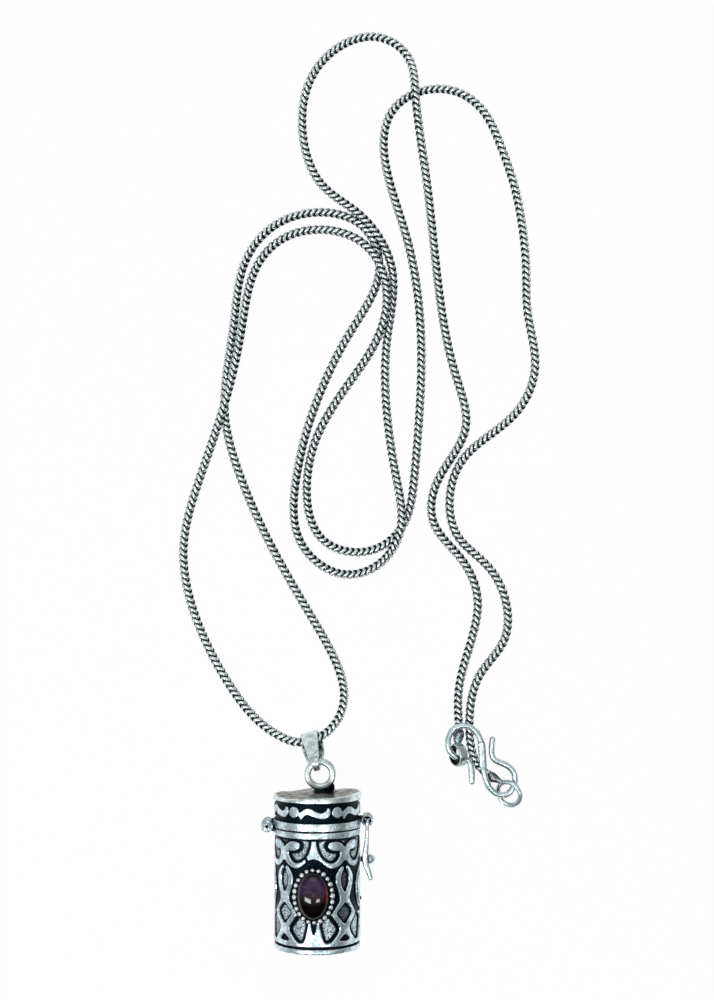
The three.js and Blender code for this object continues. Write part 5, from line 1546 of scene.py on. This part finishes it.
@dataclass
class Studio:
    """Camera straight above, a pale table and soft light."""

    eye: tuple[float, float, float] = (7.0, 78.65, 370.0)
    lens: float = 74.0
    pale: tuple[float, float, float, float] = (1.0, 1.0, 1.0, 1.0)

    def camera(self) -> None:
        """The camera looks straight down, with the locket's axis upright in the picture."""
        data = bpy.data.cameras.new("camera")
        data.sensor_fit, data.sensor_height, data.lens = "VERTICAL", 36.0, self.lens
        data.clip_start, data.clip_end = 0.01, 20.0
        made = bpy.data.objects.new("camera", data)
        made.location = PLACE.metres(np.array(self.eye))
        bpy.context.scene.collection.objects.link(made)
        bpy.context.scene.camera = made

    def pale_share(self, tree: Tree) -> bpy.types.NodeSocket:
        """1 for rays from the camera, from gloss and from glass."""
        path = tree.node("ShaderNodeLightPath")
        share = tree.sums("MAXIMUM", path.outputs["Is Camera Ray"], path.outputs["Is Glossy Ray"])
        return tree.sums("MAXIMUM", share, path.outputs["Is Transmission Ray"])

    def table(self) -> None:
        """The table top: white to the camera, with a faint shadow of what lies on it."""
        mesh = bpy.data.meshes.new("table_top")
        size = 3.0
        mesh.from_pydata([(-size, -size, 0), (size, -size, 0), (size, size, 0), (-size, size, 0)], [],
                         [(0, 1, 2, 3)])
        made = bpy.data.objects.new("table_top", mesh)
        bpy.context.scene.collection.objects.link(made)
        material = bpy.data.materials.new("table white")
        material.use_nodes = True
        tree = Tree(material.node_tree)
        tree.tree.nodes.clear()
        matt = tree.node("ShaderNodeBsdfDiffuse", {}, Color=(0.95, 0.95, 0.95, 1))
        plain = tree.node("ShaderNodeEmission", {}, Color=self.pale, Strength=1.0)
        share = tree.sums("MULTIPLY", self.pale_share(tree), 0.97)
        both = tree.node("ShaderNodeMixShader", {})
        for socket, value in zip(both.inputs, (share, matt.outputs[0], plain.outputs[0])):
            tree.feed(socket, value)
        tree.node("ShaderNodeOutputMaterial", {}, Surface=both.outputs[0])
        mesh.materials.append(material)

    def world(self) -> None:
        """Soft light from all round: bright above, dim to the sides and dimmer from the locket's foot.

        The camera sees white, and so do gloss and glass where they look along the table.
        """
        world = bpy.data.worlds.new("studio")
        bpy.context.scene.world = world
        world.use_nodes = True
        tree = Tree(world.node_tree)
        tree.tree.nodes.clear()
        way = tree.node("ShaderNodeTexCoord").outputs["Generated"]
        parts = tree.node("ShaderNodeSeparateXYZ", {}, Vector=way)
        ramp = tree.node("ShaderNodeValToRGB", {}, Fac=parts.outputs["Z"])
        stops = ramp.color_ramp.elements
        stops[0].position, stops[0].color = 0.0, (0.36, 0.35, 0.33, 1)
        stops[1].position, stops[1].color = 1.0, (0.34, 0.36, 0.36, 1)
        for place, level in ((0.14, 0.2), (0.32, 0.3), (0.5, 0.48), (0.7, 0.74), (0.86, 0.88), (0.955, 0.76)):
            stops.new(place).color = (level, level * 1.01, level, 1)
        warm = tree.mixed(tree.spread(parts.outputs["X"], 0.4, 0.95),
                          (1.0, 1.0, 1.0, 1), (0.62, 0.59, 0.54, 1))
        tone = tree.node("ShaderNodeMixRGB", {"blend_type": "MULTIPLY"},
                         Fac=1.0, Color1=ramp.outputs[0], Color2=warm)
        dim = tree.spread(parts.outputs["Y"], -0.55, -0.15, 0.12, 1.0)
        soft = tree.node("ShaderNodeBackground", {}, Color=tone.outputs[0], Strength=dim)
        plain = tree.node("ShaderNodeBackground", {}, Color=self.pale, Strength=1.0)
        path = tree.node("ShaderNodeLightPath")
        gloss = tree.sums("MAXIMUM", path.outputs["Is Glossy Ray"], path.outputs["Is Transmission Ray"])
        low = tree.sums("MULTIPLY", gloss, tree.spread(parts.outputs["Z"], 0.08, 0.0))
        seen = tree.sums("MAXIMUM", path.outputs["Is Camera Ray"], low)
        both = tree.node("ShaderNodeMixShader", {})
        for socket, value in zip(both.inputs, (seen, soft.outputs[0], plain.outputs[0])):
            tree.feed(socket, value)
        tree.node("ShaderNodeOutputWorld", {}, Surface=both.outputs[0])

    def lamp(self, name: str, place: Points, aim: Points, size: tuple[float, float], power: float) -> None:
        """A soft box at a place in metres, pointed at another."""
        data = bpy.data.lights.new(name, "AREA")
        data.shape, data.size, data.size_y, data.energy = "RECTANGLE", size[0], size[1], power
        made = bpy.data.objects.new(name, data)
        made.location = place
        way = np.array(aim, float) - np.array(place, float)
        back = -Vector(way).normalized()
        across = (Vector((1.0, 0.0, 0.0)) - back * back.x).normalized()
        made.rotation_euler = Matrix((across, back.cross(across), back)).transposed().to_euler()
        bpy.context.scene.collection.objects.link(made)

    def light(self) -> None:
        """A broad soft box behind the locket and two small ones in front of it."""
        self.lamp("broad_box", (-0.1, 0.75, 0.75), (0.0, 0.05, 0.0), (0.8, 0.4), 1.0)
        self.lamp("left_box", (-0.34, -0.20, 0.62), (0.0, 0.0, 0.0), (0.38, 0.10), 1.9)
        self.lamp("right_box", (0.22, -0.22, 0.70), (0.0, 0.0, 0.0), (0.24, 0.08), 0.85)


def dress(looks: Finishes, chain: SnakeChain, clasp: Clasp) -> None:
    """Makes the chain and clasp first, then the bail, the case with its stone, the lid and the latch."""
    left, left_track = chain.half("chain_left_weave", chain.left, "chain_left", looks["chain silver"])
    right, right_track = chain.half("chain_right_weave", chain.right, "chain_right", looks["chain silver"])
    solder, silver = looks["solder silver"], looks["wire silver"]
    wire_side = clasp.wire_centre + CHAIN_START - np.array(clasp.wire_lean) * (clasp.wire_radius + 0.1)
    left_cap = clasp.cap("left_cap", "end_cap_left", left_track.line[-1], wire_side, solder, 61, -0.1)
    right_cap = clasp.cap("right_cap", "end_cap_right", right_track.line[-1],
                          CHAIN_START + (24.95, 33.5, 1.7),
                          solder, 62, 0.26)
    flat_ring, round_ring = clasp.band_ring(looks["bail silver"]), clasp.wire_ring(silver)
    hook = clasp.s_hook(silver)
    chain.declare(left_track)
    chain.declare(right_track)
    Bail().make(looks["bail silver"])
    case = LocketCase()
    case.make(looks)
    setting = StoneSetting()
    setting.metal(looks)
    setting.stone()
    LocketLid().make(looks, case)
    LatchWire().make(looks)


def main() -> None:
    logging.basicConfig(level=logging.INFO, format="%(message)s")
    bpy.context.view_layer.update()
    bpy.context.scene.view_settings.view_transform = "Standard"
    studio = Studio()
    studio.camera()
    dress(Finishes(), SnakeChain(), Clasp())
    studio.table()
    studio.world()
    studio.light()
    bpy.context.view_layer.update()


if __name__ == "__main__":
    main()
